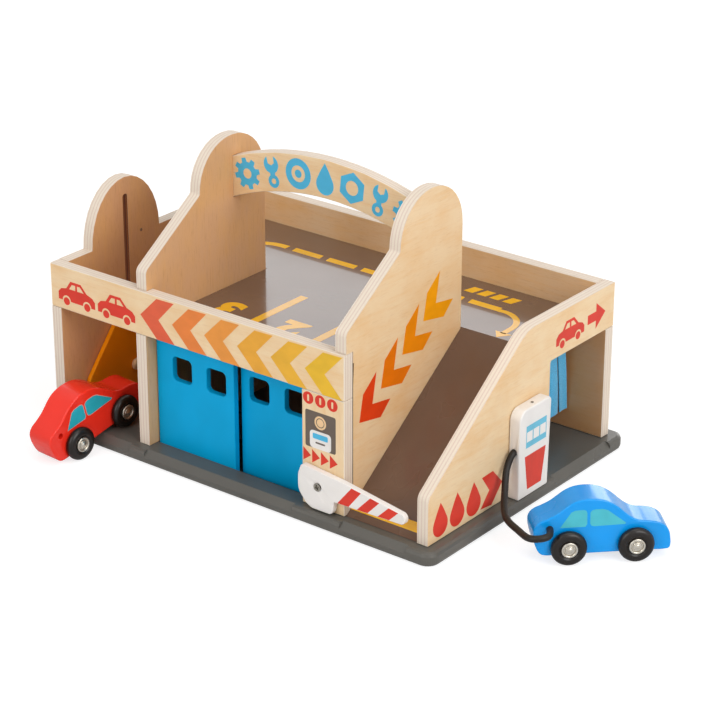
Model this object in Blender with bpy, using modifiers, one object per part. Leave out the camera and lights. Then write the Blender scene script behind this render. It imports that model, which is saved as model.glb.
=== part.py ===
"""A wooden toy service station with a lift, sliding doors, a barrier, a pump and two cars.

Units are metres and +Z is up. The origin is the centre of the base's underside, +X runs
along the front from the lift bay to the ramp, and +Y runs to the rear.
"""

import math

import bmesh
import bpy
from mathutils import Matrix, Vector

# Plywood, its seams and its sanded edges
PLY = 0.010
SEAM = 0.0003
SANDED = 0.0005
SOFT_EDGE_STEPS = 2

# How finely round forms are cut, and the share of a half width that a full round end takes
ARC_STEP = math.radians(10)
ARCH_STEPS = 16
ROD_STEPS = 24
WHEEL_STEPS = 24
AXLE_STEPS = 20
PIVOT_STEPS = 32
ROUND_END = 0.98
WELD = 0.000001
SHARP_ANGLE = math.radians(40)
SMOOTH_ANGLE = math.radians(35)

# Bays along the front, and the depth over the walls
LIFT_BAY = 0.0795
GARAGE_BAY = 0.1825
RAMP_LANE = 0.0660
WALL_DEPTH = 0.2380

# Base board
BASE_T = 0.0110
BASE_LIP = 0.0100
BASE_CORNER_R = 0.0100
BASE_EDGE_R = 0.0030
LANE_CHAMFER = 0.0050
LANE_INSET = 0.0025

# Walls, beam and deck
WALL_TOP = 0.1400
BEAM_H = 0.0360
DECK_TOP = 0.1145
POST_W = 0.0394
TOWER_DEPTH = 0.1423
TOWER_LEAN_LOW = 0.1561
TOWER_LEAN_HIGH = 0.1990
TOWER_LIP = 0.0025
TOWER_LIP_R = 0.0060
TOWER_NECK_R = 0.0030
TOWER_HEAD_R = 0.0383
TOWER_TOP = 0.2378
HUMP_CENTRE = 0.0765
HUMP_HALF = 0.0390
HUMP_H = 0.0510

# Right side panel with the exit doorway
PANEL_NOSE_H = 0.0496
PANEL_NOSE_R = 0.0080
PANEL_SHOULDER = 0.1200
PANEL_SHOULDER_R = 0.0300
EXIT_START = 0.1520
EXIT_CORNER_R = 0.0020

# Ramp
RAMP_T = 0.0100
RAMP_TOE = 0.0018

# Curved sign in the towers
SIGN_R = 0.2286
SIGN_BAND = 0.0310
SIGN_DROP = 0.0010
SIGN_FRONT = 0.1050
SIGN_MORTISE = 0.0050
MORTISE_CLEAR = 0.0004

# Sliding doors and their tracks
DOOR_T = 0.0054
DOOR_W = 0.0776
DOOR_RUN = 0.0006
DOOR_END_RUN = 0.0008
DOOR_PITCH = 0.0080
TRACK_DEPTH = 0.0060
TRACK_FRONT = 0.0006
WINDOW_W = 0.0193
WINDOW_H = 0.0200
WINDOW_R = 0.0040
WINDOW_LOW = 0.0685
WINDOW_EDGE = 0.0080
WINDOW_OUTER_EDGE = 0.0160

# Lift
LIFT_PLATE_T = 0.0060
LIFT_FRONT = 0.0450
LIFT_BACK = 0.1300
LIFT_CLEAR = 0.0008
LIFT_DECK_CLEAR = 0.0010
GUARD_T = 0.0040
GUARD_HALF = 0.0535
GUARD_SHOULDER = 0.0340
GUARD_TOP = 0.0840
GUARD_TOP_HALF = 0.0120
GUARD_R = 0.0100
PEG_R = 0.00235
PEG_RUN = 0.0003
GUIDE_HEAD_R = 0.00485
GUIDE_HEAD_T = 0.0030
GUIDE_HEAD_FACE = 0.0039
GUIDE_HEAD_WALL = 0.0018
GUIDE_UP = 0.0200
KNOB_UP = 0.0597
KNOB_R = 0.0070
KNOB_T = 0.0090
KNOB_FOOT_R = 0.0052
KNOB_FACE_R = 0.0042
KNOB_WALL_START = 0.0027
KNOB_WALL_END = 0.0058
KNOB_RUN = 0.0005

# Barrier
ARM_T = 0.0050
ARM_RUN = 0.0005
ARM_PIVOT_IN = 0.0184
ARM_PIVOT_UP = 0.0201
ARM_CROWN_BACK = 0.0152
ARM_CROWN = 0.0150
ARM_CROWN_R = 0.0035
ARM_BEND_FORE = 0.0220
ARM_BEND = 0.0112
ARM_BEND_R = 0.0400
ARM_REACH = 0.0802
ARM_TIP_TOP = 0.0022
ARM_TIP_TOP_R = 0.0042
ARM_TIP_LOW = 0.0058
ARM_TIP_LOW_R = 0.0036
ARM_ROOT_FORE = 0.0155
ARM_ROOT_LOW = 0.0076
ARM_ROOT_R = 0.0010
ARM_CHIN_FORE = 0.0140
ARM_CHIN_LOW = 0.0188
ARM_CHIN_R = 0.0045
ARM_BELLY_BACK = 0.0085
ARM_BELLY_R = 0.0120
ARM_NAPE_BACK = 0.0185
ARM_NAPE_UP = 0.0060
ARM_NAPE_R = 0.0100
ARM_HEEL_LOW = 0.0070
ARM_HEEL_R = 0.0120
SCREW_R = 0.00175
SCREW_RUN = 0.00006
SCREW_HEAD_R = 0.0036
SCREW_HEAD_T = 0.0022
SCREW_BITE = 0.0070
SCREW_POINT_R = 0.0007
SCREW_POINT = 0.0010

# Pump and hose
PUMP_START = 0.0990
PUMP_W = 0.0384
PUMP_FLARE = 0.0023
PUMP_T = 0.0100
PUMP_H = 0.0722
PUMP_R = 0.0085
PUMP_REAR_R = 0.0040
PUMP_EDGE_R = 0.0012
HOSE_D = 0.0044
HOSE_UP = 0.0386
HOSE_SEAT = 0.0050
HOSE_SIDES_LEVEL = 3
HOSE_POINTS = 18
ROUTE_STEPS = 24
HOSE_BOW = [
    (0.0005, -0.0100, -0.0096), (0.0068, -0.0209, -0.0216), (0.0165, -0.0352, -0.0267),
    (0.0282, -0.0475, -0.0270), (0.0442, -0.0575, -0.0257), (0.0570, -0.0659, -0.0234),
    (0.0634, -0.0672, -0.0222), (0.0687, -0.0641, -0.0215), (0.0708, -0.0583, -0.0212)]

# Felt curtain in the exit lane
STRIP_COUNT = 6
STRIP_GAP = 0.0006
STRIP_T = 0.0010
STRIP_END = 0.0285
STRIP_DRIFT = 0.0070
CURTAIN_IN = 0.0220
CURTAIN_END = 0.0018
BATTEN_W = 0.0060
BATTEN_H = 0.0060

# Toy cars
CAR_W = 0.0250
CAR_EDGE_R = 0.0018
CAR_BELLY = 0.0065
CAR_SHOULDER = 0.0306
CAR_ROOF = 0.0500
CAR_TAIL = 0.0252
CAR_TAIL_UP = 0.0190
CAR_TAIL_LOW = 0.0208
CAR_BOOT = 0.0242
CAR_BOOT_R = 0.0040
CAR_PILLAR = 0.0110
CAR_PILLAR_UP = 0.0070
CAR_PILLAR_R = 0.0120
CAR_ROOF_START = 0.0035
CAR_ROOF_START_R = 0.0140
CAR_ROOF_END = 0.0240
CAR_ROOF_END_R = 0.0160
CAR_SCREEN_FOOT = 0.0520
CAR_SCREEN_FOOT_R = 0.0140
CAR_BONNET = 0.0695
CAR_BONNET_DROP = 0.0014
CAR_NOSE = 0.0754
CAR_NOSE_UP = 0.0180
CAR_NOSE_LOW = 0.0749
CAR_END_R = 0.0080
CAR_SILL_R = 0.0030
WHEELBASE = 0.0491
WHEEL_R = 0.0133
WHEEL_T = 0.0060
WHEEL_CLEAR = 0.0005
WHEEL_DISH_R = 0.0068
WHEEL_DISH = 0.0010
WHEEL_DISH_SLOPE = 0.0012
WHEEL_OUTER_ROUND = 0.0021
WHEEL_INNER_ROUND = 0.0015
AXLE_R = 0.0020
AXLE_RUN = 0.00006
HUB_R = 0.0060
HUB_T = 0.0012
HUB_CUP_R = 0.0045
HUB_CUP_T = 0.0005
BOSS_FOOT_R = 0.0028
BOSS_R = 0.0018
BOSS_T = 0.0016
BOSS_TOP = 0.0018
CAR_HOLE_BACK = 0.0140
CAR_HOLE_UP = 0.0281

# Where the cars' rear axles stand from the walls' corners, and their headings
BLUE_CAR_OUT = 0.0712
BLUE_CAR_BACK = 0.0691
BLUE_HEADING = math.radians(45.0)
RED_CAR_IN = 0.0419
RED_CAR_OUT = 0.0322
RED_HEADING = math.radians(85.75)

# Places worked out from the sizes
WIDTH = 4 * PLY + LIFT_BAY + GARAGE_BAY + RAMP_LANE
X_LEFT = -WIDTH / 2
X_RIGHT = WIDTH / 2
X_LIFT = X_LEFT + PLY
X_TOWER_L = X_LIFT + LIFT_BAY
X_GARAGE = X_TOWER_L + PLY
X_TOWER_R = X_GARAGE + GARAGE_BAY
X_RAMP = X_TOWER_R + PLY
X_PANEL_R = X_RAMP + RAMP_LANE
Y_FRONT = -WALL_DEPTH / 2
Y_BACK = WALL_DEPTH / 2
Y_INSIDE = Y_FRONT + PLY
Y_REAR_WALL = Y_BACK - PLY
Y_TOWER = Y_FRONT + TOWER_DEPTH
Y_EXIT = Y_FRONT + EXIT_START
Z_STAND = BASE_T + SEAM
Z_BEAM = WALL_TOP - BEAM_H
Z_DECK = DECK_TOP - PLY
X_POST = X_RAMP - POST_W
TRACK_WIDTH = 2 * TRACK_FRONT + DOOR_PITCH + DOOR_T
X_MID = X_GARAGE + GARAGE_BAY / 2
LIFT_RISE = DECK_TOP - BASE_T
Y_HUMP = Y_FRONT + HUMP_CENTRE
Y_LIFT_FRONT = Y_FRONT + LIFT_FRONT
Y_LIFT_BACK = Y_FRONT + LIFT_BACK
Z_GUIDE = BASE_T + GUIDE_UP
Z_KNOB = BASE_T + KNOB_UP
Z_TRACK = BASE_T - TRACK_DEPTH
Z_TRACK_TOP = Z_DECK + PLY / 2
Z_SIGN_CREST = TOWER_TOP - SIGN_DROP
BLUE_REAR = Vector((X_RIGHT + BLUE_CAR_OUT, Y_FRONT + BLUE_CAR_BACK))
RED_REAR = Vector((X_LEFT + RED_CAR_IN, Y_FRONT - RED_CAR_OUT))

BIRCH = ("birch_ply", "E6CFA4", 0.50, 0.0)
GREY = ("grey_paint", "6B6865", 0.45, 0.0)
DECK_GREY = ("deck_paint", "74604F", 0.25, 0.0)
BLUE_DOOR = ("door_blue", "0096CE", 0.40, 0.0)
WHITE = ("white_paint", "E9E5E0", 0.40, 0.0)
ORANGE = ("orange_paint", "DD8410", 0.40, 0.0)
FELT = ("blue_felt", "3F93C4", 0.90, 0.0)
RUBBER = ("black_hose", "1C1713", 0.55, 0.0)
NICKEL = ("nickel", "C9C4BC", 0.25, 1.0)
TYRE = ("black_wheel", "241D19", 0.50, 0.0)
CAR_RED = ("car_red", "E8352A", 0.30, 0.0)
CAR_BLUE = ("car_blue", "1D97EE", 0.30, 0.0)

PLANES = {
    "X": Matrix(((0, 0, 1, 0), (1, 0, 0, 0), (0, 1, 0, 0), (0, 0, 0, 1))),
    "Y": Matrix(((1, 0, 0, 0), (0, 0, -1, 0), (0, 1, 0, 0), (0, 0, 0, 1))),
    "Z": Matrix.Identity(4),
}


def clear_scene():
    """Remove every object of the start-up scene."""
    for item in list(bpy.data.objects):
        bpy.data.objects.remove(item, do_unlink=True)


def new_collection(name):
    """Add a collection to the scene."""
    made = bpy.data.collections.new(name)
    bpy.context.scene.collection.children.link(made)
    return made


def linear(code):
    """Turn an sRGB hex colour into linear values."""
    channels = [int(code[i:i + 2], 16) / 255 for i in (0, 2, 4)]
    return [c / 12.92 if c <= 0.04045 else ((c + 0.055) / 1.055) ** 2.4 for c in channels]


def paint(item, finish):
    """Give an object its own Principled material."""
    name, code, roughness, metallic = finish
    made = bpy.data.materials.new(item.name + "_" + name)
    made.use_nodes = True
    shader = made.node_tree.nodes["Principled BSDF"]
    shader.inputs["Base Color"].default_value = linear(code) + [1.0]
    shader.inputs["Roughness"].default_value = roughness
    shader.inputs["Metallic"].default_value = metallic
    item.data.materials.append(made)


def add_object(name, mesh, finish=None, parent=None, origin=None):
    """Link a mesh as a piece, or as a cutter where it has no finish."""
    if origin is not None:
        mesh.transform(Matrix.Translation(-Vector(origin)))
    item = bpy.data.objects.new(name, mesh)
    if origin is not None:
        item.location = origin
    item.parent = parent
    if finish:
        pieces.objects.link(item)
        paint(item, finish)
    else:
        cutters.objects.link(item)
        item.hide_render = True
        item.display_type = "WIRE"
    return item


def rounded(corners):
    """Outline points of a polygon whose (u, v, radius) corners are arcs."""
    points = []
    for index, (u, v, radius) in enumerate(corners):
        corner = Vector((u, v))
        if radius <= 0:
            points.append(corner)
            continue
        back = (Vector(corners[index - 1][:2]) - corner).normalized()
        ahead = (Vector(corners[(index + 1) % len(corners)][:2]) - corner).normalized()
        half = back.angle(ahead) / 2
        centre = corner + (back + ahead).normalized() * (radius / math.sin(half))
        start = corner + back * (radius / math.tan(half)) - centre
        turn = math.pi - 2 * half
        side = math.copysign(1, back.y * ahead.x - back.x * ahead.y)
        steps = max(2, round(turn / ARC_STEP))
        for k in range(steps + 1):
            points.append(centre + turned_by(start, side * turn * k / steps))
    return points


def turned_by(vector, angle):
    """Turn a flat vector by an angle."""
    c, s = math.cos(angle), math.sin(angle)
    return Vector((c * vector.x - s * vector.y, s * vector.x + c * vector.y))


def ellipse(centre, half_u, half_v, start, end, steps):
    """Points along an elliptical arc, angles in degrees."""
    angles = [math.radians(start + (end - start) * k / steps) for k in range(steps + 1)]
    return [Vector((centre[0] + half_u * math.cos(a), centre[1] + half_v * math.sin(a)))
            for a in angles]


def flat_mesh(name, loop, low, high, plane):
    """Extrude a filled outline from low to high along the plane's normal."""
    curve = bpy.data.curves.new(name, "CURVE")
    curve.dimensions = "2D"
    curve.fill_mode = "BOTH"
    curve.extrude = (high - low) / 2
    spline = curve.splines.new("POLY")
    spline.points.add(len(loop) - 1)
    for spot, point in zip(loop, spline.points):
        point.co = (spot[0], spot[1], 0, 1)
    spline.use_cyclic_u = True
    item = bpy.data.objects.new(name + "_outline", curve)
    side = -1 if plane == "Y" else 1
    shift = Matrix.Translation((0, 0, side * (low + high) / 2))
    item.matrix_world = PLANES[plane] @ shift
    cutters.objects.link(item)
    bpy.context.view_layer.update()
    seen = item.evaluated_get(bpy.context.evaluated_depsgraph_get())
    mesh = bpy.data.meshes.new_from_object(seen)
    mesh.name = name
    weld_caps(mesh)
    mesh.transform(item.matrix_world)
    bpy.data.objects.remove(item, do_unlink=True)
    return mesh


def weld_caps(mesh):
    """Join loose caps to their sides, make each cap one face and turn faces outwards."""
    shape = bmesh.new()
    shape.from_mesh(mesh)
    bmesh.ops.remove_doubles(shape, verts=shape.verts, dist=WELD)
    for side in (-1, 1):
        cap = [face for face in shape.faces if all(v.co.z * side > 0 for v in face.verts)]
        bmesh.ops.dissolve_faces(shape, faces=cap)
    bmesh.ops.recalc_face_normals(shape, faces=shape.faces)
    shape.to_mesh(mesh)
    shape.free()


def box_mesh(name, low, high):
    """A box between two corners."""
    low, high = Vector(low), Vector(high)
    shape = bmesh.new()
    bmesh.ops.create_cube(shape, size=1)
    bmesh.ops.scale(shape, vec=high - low, verts=shape.verts)
    bmesh.ops.translate(shape, vec=(low + high) / 2, verts=shape.verts)
    mesh = bpy.data.meshes.new(name)
    shape.to_mesh(mesh)
    shape.free()
    return mesh


def rod_mesh(name, radius, start, end, sides):
    """A rod between two points."""
    start, end = Vector(start), Vector(end)
    axis = end - start
    shape = bmesh.new()
    bmesh.ops.create_cone(shape, cap_ends=True, segments=sides, radius1=radius,
                          radius2=radius, depth=axis.length)
    turn = Vector((0, 0, 1)).rotation_difference(axis).to_matrix().to_4x4()
    mesh = bpy.data.meshes.new(name)
    shape.to_mesh(mesh)
    shape.free()
    mesh.transform(Matrix.Translation((start + end) / 2) @ turn)
    return mesh


def turned_piece(name, profile, finish, steps, parent, place, closed=False):
    """A turned piece: its (radius, height) profile spun round the local Z axis."""
    edges = [(k, k + 1) for k in range(len(profile) - 1)]
    if closed:
        edges.append((len(profile) - 1, 0))
    mesh = bpy.data.meshes.new(name)
    mesh.from_pydata([(r, 0, z) for r, z in profile], edges, [])
    item = add_object(name, mesh, finish, parent)
    item.matrix_local = place
    spin = item.modifiers.new("Spin", "SCREW")
    spin.steps = spin.render_steps = steps
    spin.use_merge_vertices = True
    spin.merge_threshold = WELD
    return item


def soften(item, width, segments=1):
    """Round the sharp edges of a piece."""
    edge = item.modifiers.new("Edges", "BEVEL")
    edge.width = width
    edge.segments = segments
    edge.limit_method = "ANGLE"
    edge.angle_limit = SHARP_ANGLE


def cut(item, mesh):
    """Cut a mesh's volume out of a piece."""
    tool = add_object(mesh.name, mesh, None, item.parent)
    knife = item.modifiers.new("Cut " + mesh.name, "BOOLEAN")
    knife.operation = "DIFFERENCE"
    knife.solver = "EXACT"
    knife.object = tool


def chamfer_cutter(name, low, high, size):
    """A square bar turned on its edge along a lane's line, to bevel the base's rim."""
    low, high = Vector(low), Vector(high)
    axis = high - low
    side = size * math.sqrt(2)
    mesh = box_mesh(name, (-side / 2, -side / 2, -axis.length / 2),
                    (side / 2, side / 2, axis.length / 2))
    tip = Matrix.Rotation(math.radians(45), 4, "Z")
    turn = Vector((0, 0, 1)).rotation_difference(axis).to_matrix().to_4x4()
    mesh.transform(Matrix.Translation((low + high) / 2) @ turn @ tip)
    return mesh


def corner_loop(low_u, high_u, low_v, high_v, radius):
    """A rectangle with round corners."""
    return rounded([(low_u, low_v, radius), (high_u, low_v, radius),
                    (high_u, high_v, radius), (low_u, high_v, radius)])


def make_base():
    """Base board with round edges, drive-on lanes, the door track and the lift pocket."""
    half_x, half_y = WIDTH / 2 + BASE_LIP, WALL_DEPTH / 2 + BASE_LIP
    outline = corner_loop(-half_x, half_x, -half_y, half_y, BASE_CORNER_R)
    item = add_object("base_plate", flat_mesh("base_plate", outline, 0, BASE_T, "Z"), GREY)
    soften(item, BASE_EDGE_R, SOFT_EDGE_STEPS)
    lanes = [("park_lane", X_LIFT, X_TOWER_L), ("door_lane", X_GARAGE, X_POST),
             ("ramp_lane", X_RAMP, X_PANEL_R)]
    for name, low, high in lanes:
        cut(item, chamfer_cutter(name, (low + LANE_INSET, -half_y, BASE_T),
                                 (high - LANE_INSET, -half_y, BASE_T), LANE_CHAMFER))
    cut(item, chamfer_cutter("exit_lane", (half_x, Y_EXIT - LANE_INSET, BASE_T),
                             (half_x, Y_REAR_WALL - LANE_INSET, BASE_T), LANE_CHAMFER))
    cut(item, box_mesh("base_track", (X_GARAGE + SEAM, Y_INSIDE, Z_TRACK),
                       (X_TOWER_R - SEAM, Y_INSIDE + TRACK_WIDTH, 2 * BASE_T)))
    cut(item, box_mesh("lift_pocket", (X_LIFT + SEAM, Y_LIFT_FRONT - SEAM,
                                       BASE_T - LIFT_PLATE_T - SEAM),
                       (X_TOWER_L - SEAM, Y_LIFT_BACK + SEAM, 2 * BASE_T)))


def make_left_panel():
    """Left side panel: notched for the beam, with a hump and the lift's slot."""
    hump = ellipse((Y_HUMP, WALL_TOP), HUMP_HALF, HUMP_H, 0, 180, ARCH_STEPS)
    outline = [(Y_FRONT, Z_STAND), (Y_BACK, Z_STAND), (Y_BACK, WALL_TOP)] + hump + [
        (Y_INSIDE + SEAM, WALL_TOP), (Y_INSIDE + SEAM, Z_BEAM - SEAM), (Y_FRONT, Z_BEAM - SEAM)]
    half = PEG_R + PEG_RUN
    slot = corner_loop(Y_HUMP - half, Y_HUMP + half, Z_GUIDE - half,
                       Z_KNOB + LIFT_RISE + half, half * ROUND_END)
    item = add_object("left_side_panel",
                      flat_mesh("left_side_panel", outline, X_LEFT, X_LIFT, "X"), BIRCH)
    cut(item, flat_mesh("lift_slot", slot, X_LEFT - SEAM, X_LIFT + SEAM, "X"))
    soften(item, SANDED)


def tower_outline(low_corners):
    """Outline of a tower: low front corners, lip, lean, round head and straight back."""
    neck = Y_TOWER - 2 * TOWER_HEAD_R
    head_r = TOWER_HEAD_R * ROUND_END
    return rounded(low_corners + [
        (Y_INSIDE + SEAM, WALL_TOP + SEAM, 0), (Y_FRONT + TOWER_LIP, WALL_TOP + SEAM, 0),
        (Y_FRONT + TOWER_LIP, TOWER_LEAN_LOW, TOWER_LIP_R),
        (neck, TOWER_LEAN_HIGH, TOWER_NECK_R),
        (neck, TOWER_TOP, head_r), (Y_TOWER, TOWER_TOP, head_r), (Y_TOWER, Z_STAND, 0)])


def sign_loop(reach, spare):
    """Outline of the curved sign, from one end cut to the other."""
    centre = (X_MID, Z_SIGN_CREST - SIGN_R - SIGN_BAND)
    low, high = SIGN_R - spare, SIGN_R + SIGN_BAND + spare
    half = GARAGE_BAY / 2 + reach
    under, over = math.degrees(math.acos(half / low)), math.degrees(math.acos(half / high))
    outer = ellipse(centre, high, high, over, 180 - over, ARCH_STEPS)
    return outer + ellipse(centre, low, low, 180 - under, under, ARCH_STEPS)


def make_towers():
    """The two towers, each with a blind mortise for the sign."""
    low_front = [(Y_FRONT, Z_STAND, 0), (Y_FRONT, Z_BEAM - SEAM, 0),
                 (Y_INSIDE + SEAM, Z_BEAM - SEAM, 0)]
    left = flat_mesh("left_tower_panel", tower_outline(low_front), X_TOWER_L, X_GARAGE, "X")
    right = flat_mesh("right_tower_panel", tower_outline([(Y_INSIDE + SEAM, Z_STAND, 0)]),
                      X_TOWER_R, X_RAMP, "X")
    y_sign = Y_FRONT + SIGN_FRONT
    for mesh in (left, right):
        item = add_object(mesh.name, mesh, BIRCH)
        soften(item, SANDED)
        mortise = flat_mesh(mesh.name + "_mortise",
                            sign_loop(SIGN_MORTISE + MORTISE_CLEAR, MORTISE_CLEAR),
                            y_sign - MORTISE_CLEAR, y_sign + PLY + MORTISE_CLEAR, "Y")
        cut(item, mortise)


def make_sign():
    """Curved sign between the towers."""
    y_sign = Y_FRONT + SIGN_FRONT
    mesh = flat_mesh("sign_arch", sign_loop(SIGN_MORTISE, 0), y_sign, y_sign + PLY, "Y")
    soften(add_object("sign_arch", mesh, BIRCH), SANDED)


def make_right_panel():
    """Right side panel: sloping front and the exit doorway at the rear."""
    outline = rounded([
        (Y_FRONT, Z_STAND, 0), (Y_FRONT, PANEL_NOSE_H, PANEL_NOSE_R),
        (Y_FRONT + PANEL_SHOULDER, WALL_TOP, PANEL_SHOULDER_R), (Y_BACK, WALL_TOP, 0),
        (Y_BACK, Z_BEAM - SEAM, 0), (Y_EXIT, Z_BEAM - SEAM, EXIT_CORNER_R),
        (Y_EXIT, Z_STAND, 0)])
    mesh = flat_mesh("right_side_panel", outline, X_PANEL_R, X_RIGHT, "X")
    soften(add_object("right_side_panel", mesh, BIRCH), SANDED)


def make_rear_panel():
    """Rear panel, which also forms the exit doorway's rear post."""
    low, high = X_LIFT + SEAM, X_PANEL_R - SEAM
    lintel = Z_BEAM - 2 * SEAM
    outline = [(low, Z_STAND), (X_RIGHT, Z_STAND), (X_RIGHT, lintel), (high, lintel),
               (high, WALL_TOP), (low, WALL_TOP)]
    mesh = flat_mesh("rear_panel", outline, Y_REAR_WALL, Y_BACK, "Y")
    soften(add_object("rear_panel", mesh, BIRCH), SANDED)


def make_front():
    """Front beam in the walls' notches, and the pay post under its right end."""
    beam = box_mesh("front_beam", (X_LEFT, Y_FRONT, Z_BEAM), (X_RAMP, Y_INSIDE, WALL_TOP))
    soften(add_object("front_beam", beam, BIRCH), SANDED)
    post = box_mesh("pay_post", (X_POST, Y_FRONT, Z_STAND), (X_RAMP, Y_INSIDE, Z_BEAM - SEAM))
    item = add_object("pay_post", post, BIRCH)
    soften(item, SANDED)
    x, z = X_POST + ARM_PIVOT_IN, BASE_T + ARM_PIVOT_UP
    cut(item, rod_mesh("screw_pilot", SCREW_R + SEAM, (x, Y_FRONT - PLY, z),
                       (x, Y_FRONT + SCREW_BITE + SEAM, z), PIVOT_STEPS))


def make_deck():
    """Deck round the lift opening, the towers and the ramp, with the doors' top track."""
    lift_back = Y_LIFT_BACK + LIFT_DECK_CLEAR
    outline = [
        (X_GARAGE + SEAM, Y_INSIDE + SEAM), (X_TOWER_R - SEAM, Y_INSIDE + SEAM),
        (X_TOWER_R - SEAM, Y_TOWER + SEAM), (X_PANEL_R - SEAM, Y_TOWER + SEAM),
        (X_PANEL_R - SEAM, Y_REAR_WALL - SEAM), (X_LIFT + SEAM, Y_REAR_WALL - SEAM),
        (X_LIFT + SEAM, lift_back), (X_TOWER_L - SEAM, lift_back),
        (X_TOWER_L - SEAM, Y_TOWER + SEAM), (X_GARAGE + SEAM, Y_TOWER + SEAM)]
    item = add_object("deck", flat_mesh("deck", outline, Z_DECK, DECK_TOP, "Z"), DECK_GREY)
    cut(item, box_mesh("deck_track", (X_LIFT, Y_FRONT, Z_DECK - PLY),
                       (X_RAMP, Y_INSIDE + TRACK_WIDTH, Z_TRACK_TOP)))
    soften(item, SANDED)


def make_ramp():
    """Sloping board from the base up to the deck."""
    toe, top = Y_FRONT + RAMP_TOE, DECK_TOP - SEAM
    slope = math.atan2(top - Z_STAND, Y_TOWER - toe)
    outline = [(toe, Z_STAND), (toe + RAMP_T / math.sin(slope), Z_STAND),
               (Y_TOWER, top - RAMP_T / math.cos(slope)), (Y_TOWER, top)]
    mesh = flat_mesh("ramp", outline, X_RAMP + SEAM, X_PANEL_R - SEAM, "X")
    add_object("ramp", mesh, DECK_GREY)


def make_door(name, start, front, outer_sign):
    """A sliding door with two windows, wider margin on its closing side."""
    low, high = Z_TRACK + SEAM, Z_TRACK_TOP - DOOR_RUN
    end = start + DOOR_W
    mesh = box_mesh(name, (start, front, low), (end, front + DOOR_T, high))
    item = add_object(name, mesh, BLUE_DOOR, origin=((start + end) / 2, front, low))
    first = start + (WINDOW_OUTER_EDGE if outer_sign < 0 else WINDOW_EDGE)
    last = end - (WINDOW_EDGE if outer_sign < 0 else WINDOW_OUTER_EDGE) - WINDOW_W
    for label, left in (("first", first), ("second", last)):
        window = corner_loop(left, left + WINDOW_W, WINDOW_LOW, WINDOW_LOW + WINDOW_H, WINDOW_R)
        cut(item, flat_mesh(name + "_" + label + "_window", window, front - SEAM,
                            front + DOOR_T + SEAM, "Y"))
    soften(item, SANDED)


def make_doors():
    """Two doors on neighbouring tracks, meeting in the middle of their opening."""
    front = Y_INSIDE + TRACK_FRONT
    start = X_GARAGE + DOOR_END_RUN
    make_door("left_door", start, front, -1)
    make_door("right_door", start + DOOR_W + DOOR_RUN, front + DOOR_PITCH, 1)


def make_lift():
    """Lift platform with its guard, knob and guide peg."""
    origin = (X_LIFT, Y_HUMP, BASE_T)
    low = (X_LIFT + LIFT_CLEAR, Y_LIFT_FRONT, BASE_T - LIFT_PLATE_T)
    high = (X_TOWER_L - LIFT_CLEAR, Y_LIFT_BACK, BASE_T)
    item = add_object("lift_platform", box_mesh("lift_platform", low, high), GREY,
                      origin=origin)
    soften(item, SANDED)
    left = X_LIFT + LIFT_CLEAR
    right = left + GUARD_T
    outline = rounded([
        (Y_HUMP - GUARD_HALF, Z_STAND, 0), (Y_HUMP + GUARD_HALF, Z_STAND, 0),
        (Y_HUMP + GUARD_HALF, GUARD_SHOULDER, GUARD_R),
        (Y_HUMP + GUARD_TOP_HALF, GUARD_TOP, GUARD_R),
        (Y_HUMP - GUARD_TOP_HALF, GUARD_TOP, GUARD_R),
        (Y_HUMP - GUARD_HALF, GUARD_SHOULDER, GUARD_R)])
    mesh = flat_mesh("lift_guard", outline, left, right, "X")
    item = add_object("lift_guard", mesh, ORANGE, origin=origin)
    for label, z in (("guide", Z_GUIDE), ("knob", Z_KNOB)):
        cut(item, rod_mesh(label + "_hole", PEG_R + SEAM, (X_LEFT, Y_HUMP, z),
                           (right + PLY, Y_HUMP, z), ROD_STEPS))
    soften(item, SANDED)
    along_x = Matrix.Rotation(math.radians(90), 4, "Y")
    inner = right + SEAM
    head = [(0, GUIDE_HEAD_T), (GUIDE_HEAD_FACE, GUIDE_HEAD_T),
            (GUIDE_HEAD_R, GUIDE_HEAD_WALL), (GUIDE_HEAD_R, 0), (PEG_R, 0)]
    guide = head + [(PEG_R, X_LEFT - inner), (0, X_LEFT - inner)]
    place = Matrix.Translation((inner, Y_HUMP, Z_GUIDE)) @ along_x
    turned_piece("lift_guide_peg", guide, BIRCH, ROD_STEPS, None, place)
    foot = X_LEFT - KNOB_RUN - inner
    knob = head + [(PEG_R, foot), (KNOB_FOOT_R, foot), (KNOB_R, foot - KNOB_WALL_START),
                   (KNOB_R, foot - KNOB_WALL_END), (KNOB_FACE_R, foot - KNOB_T),
                   (0, foot - KNOB_T)]
    place = Matrix.Translation((inner, Y_HUMP, Z_KNOB)) @ along_x
    turned_piece("lift_knob", knob, BIRCH, ROD_STEPS, None, place)


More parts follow.
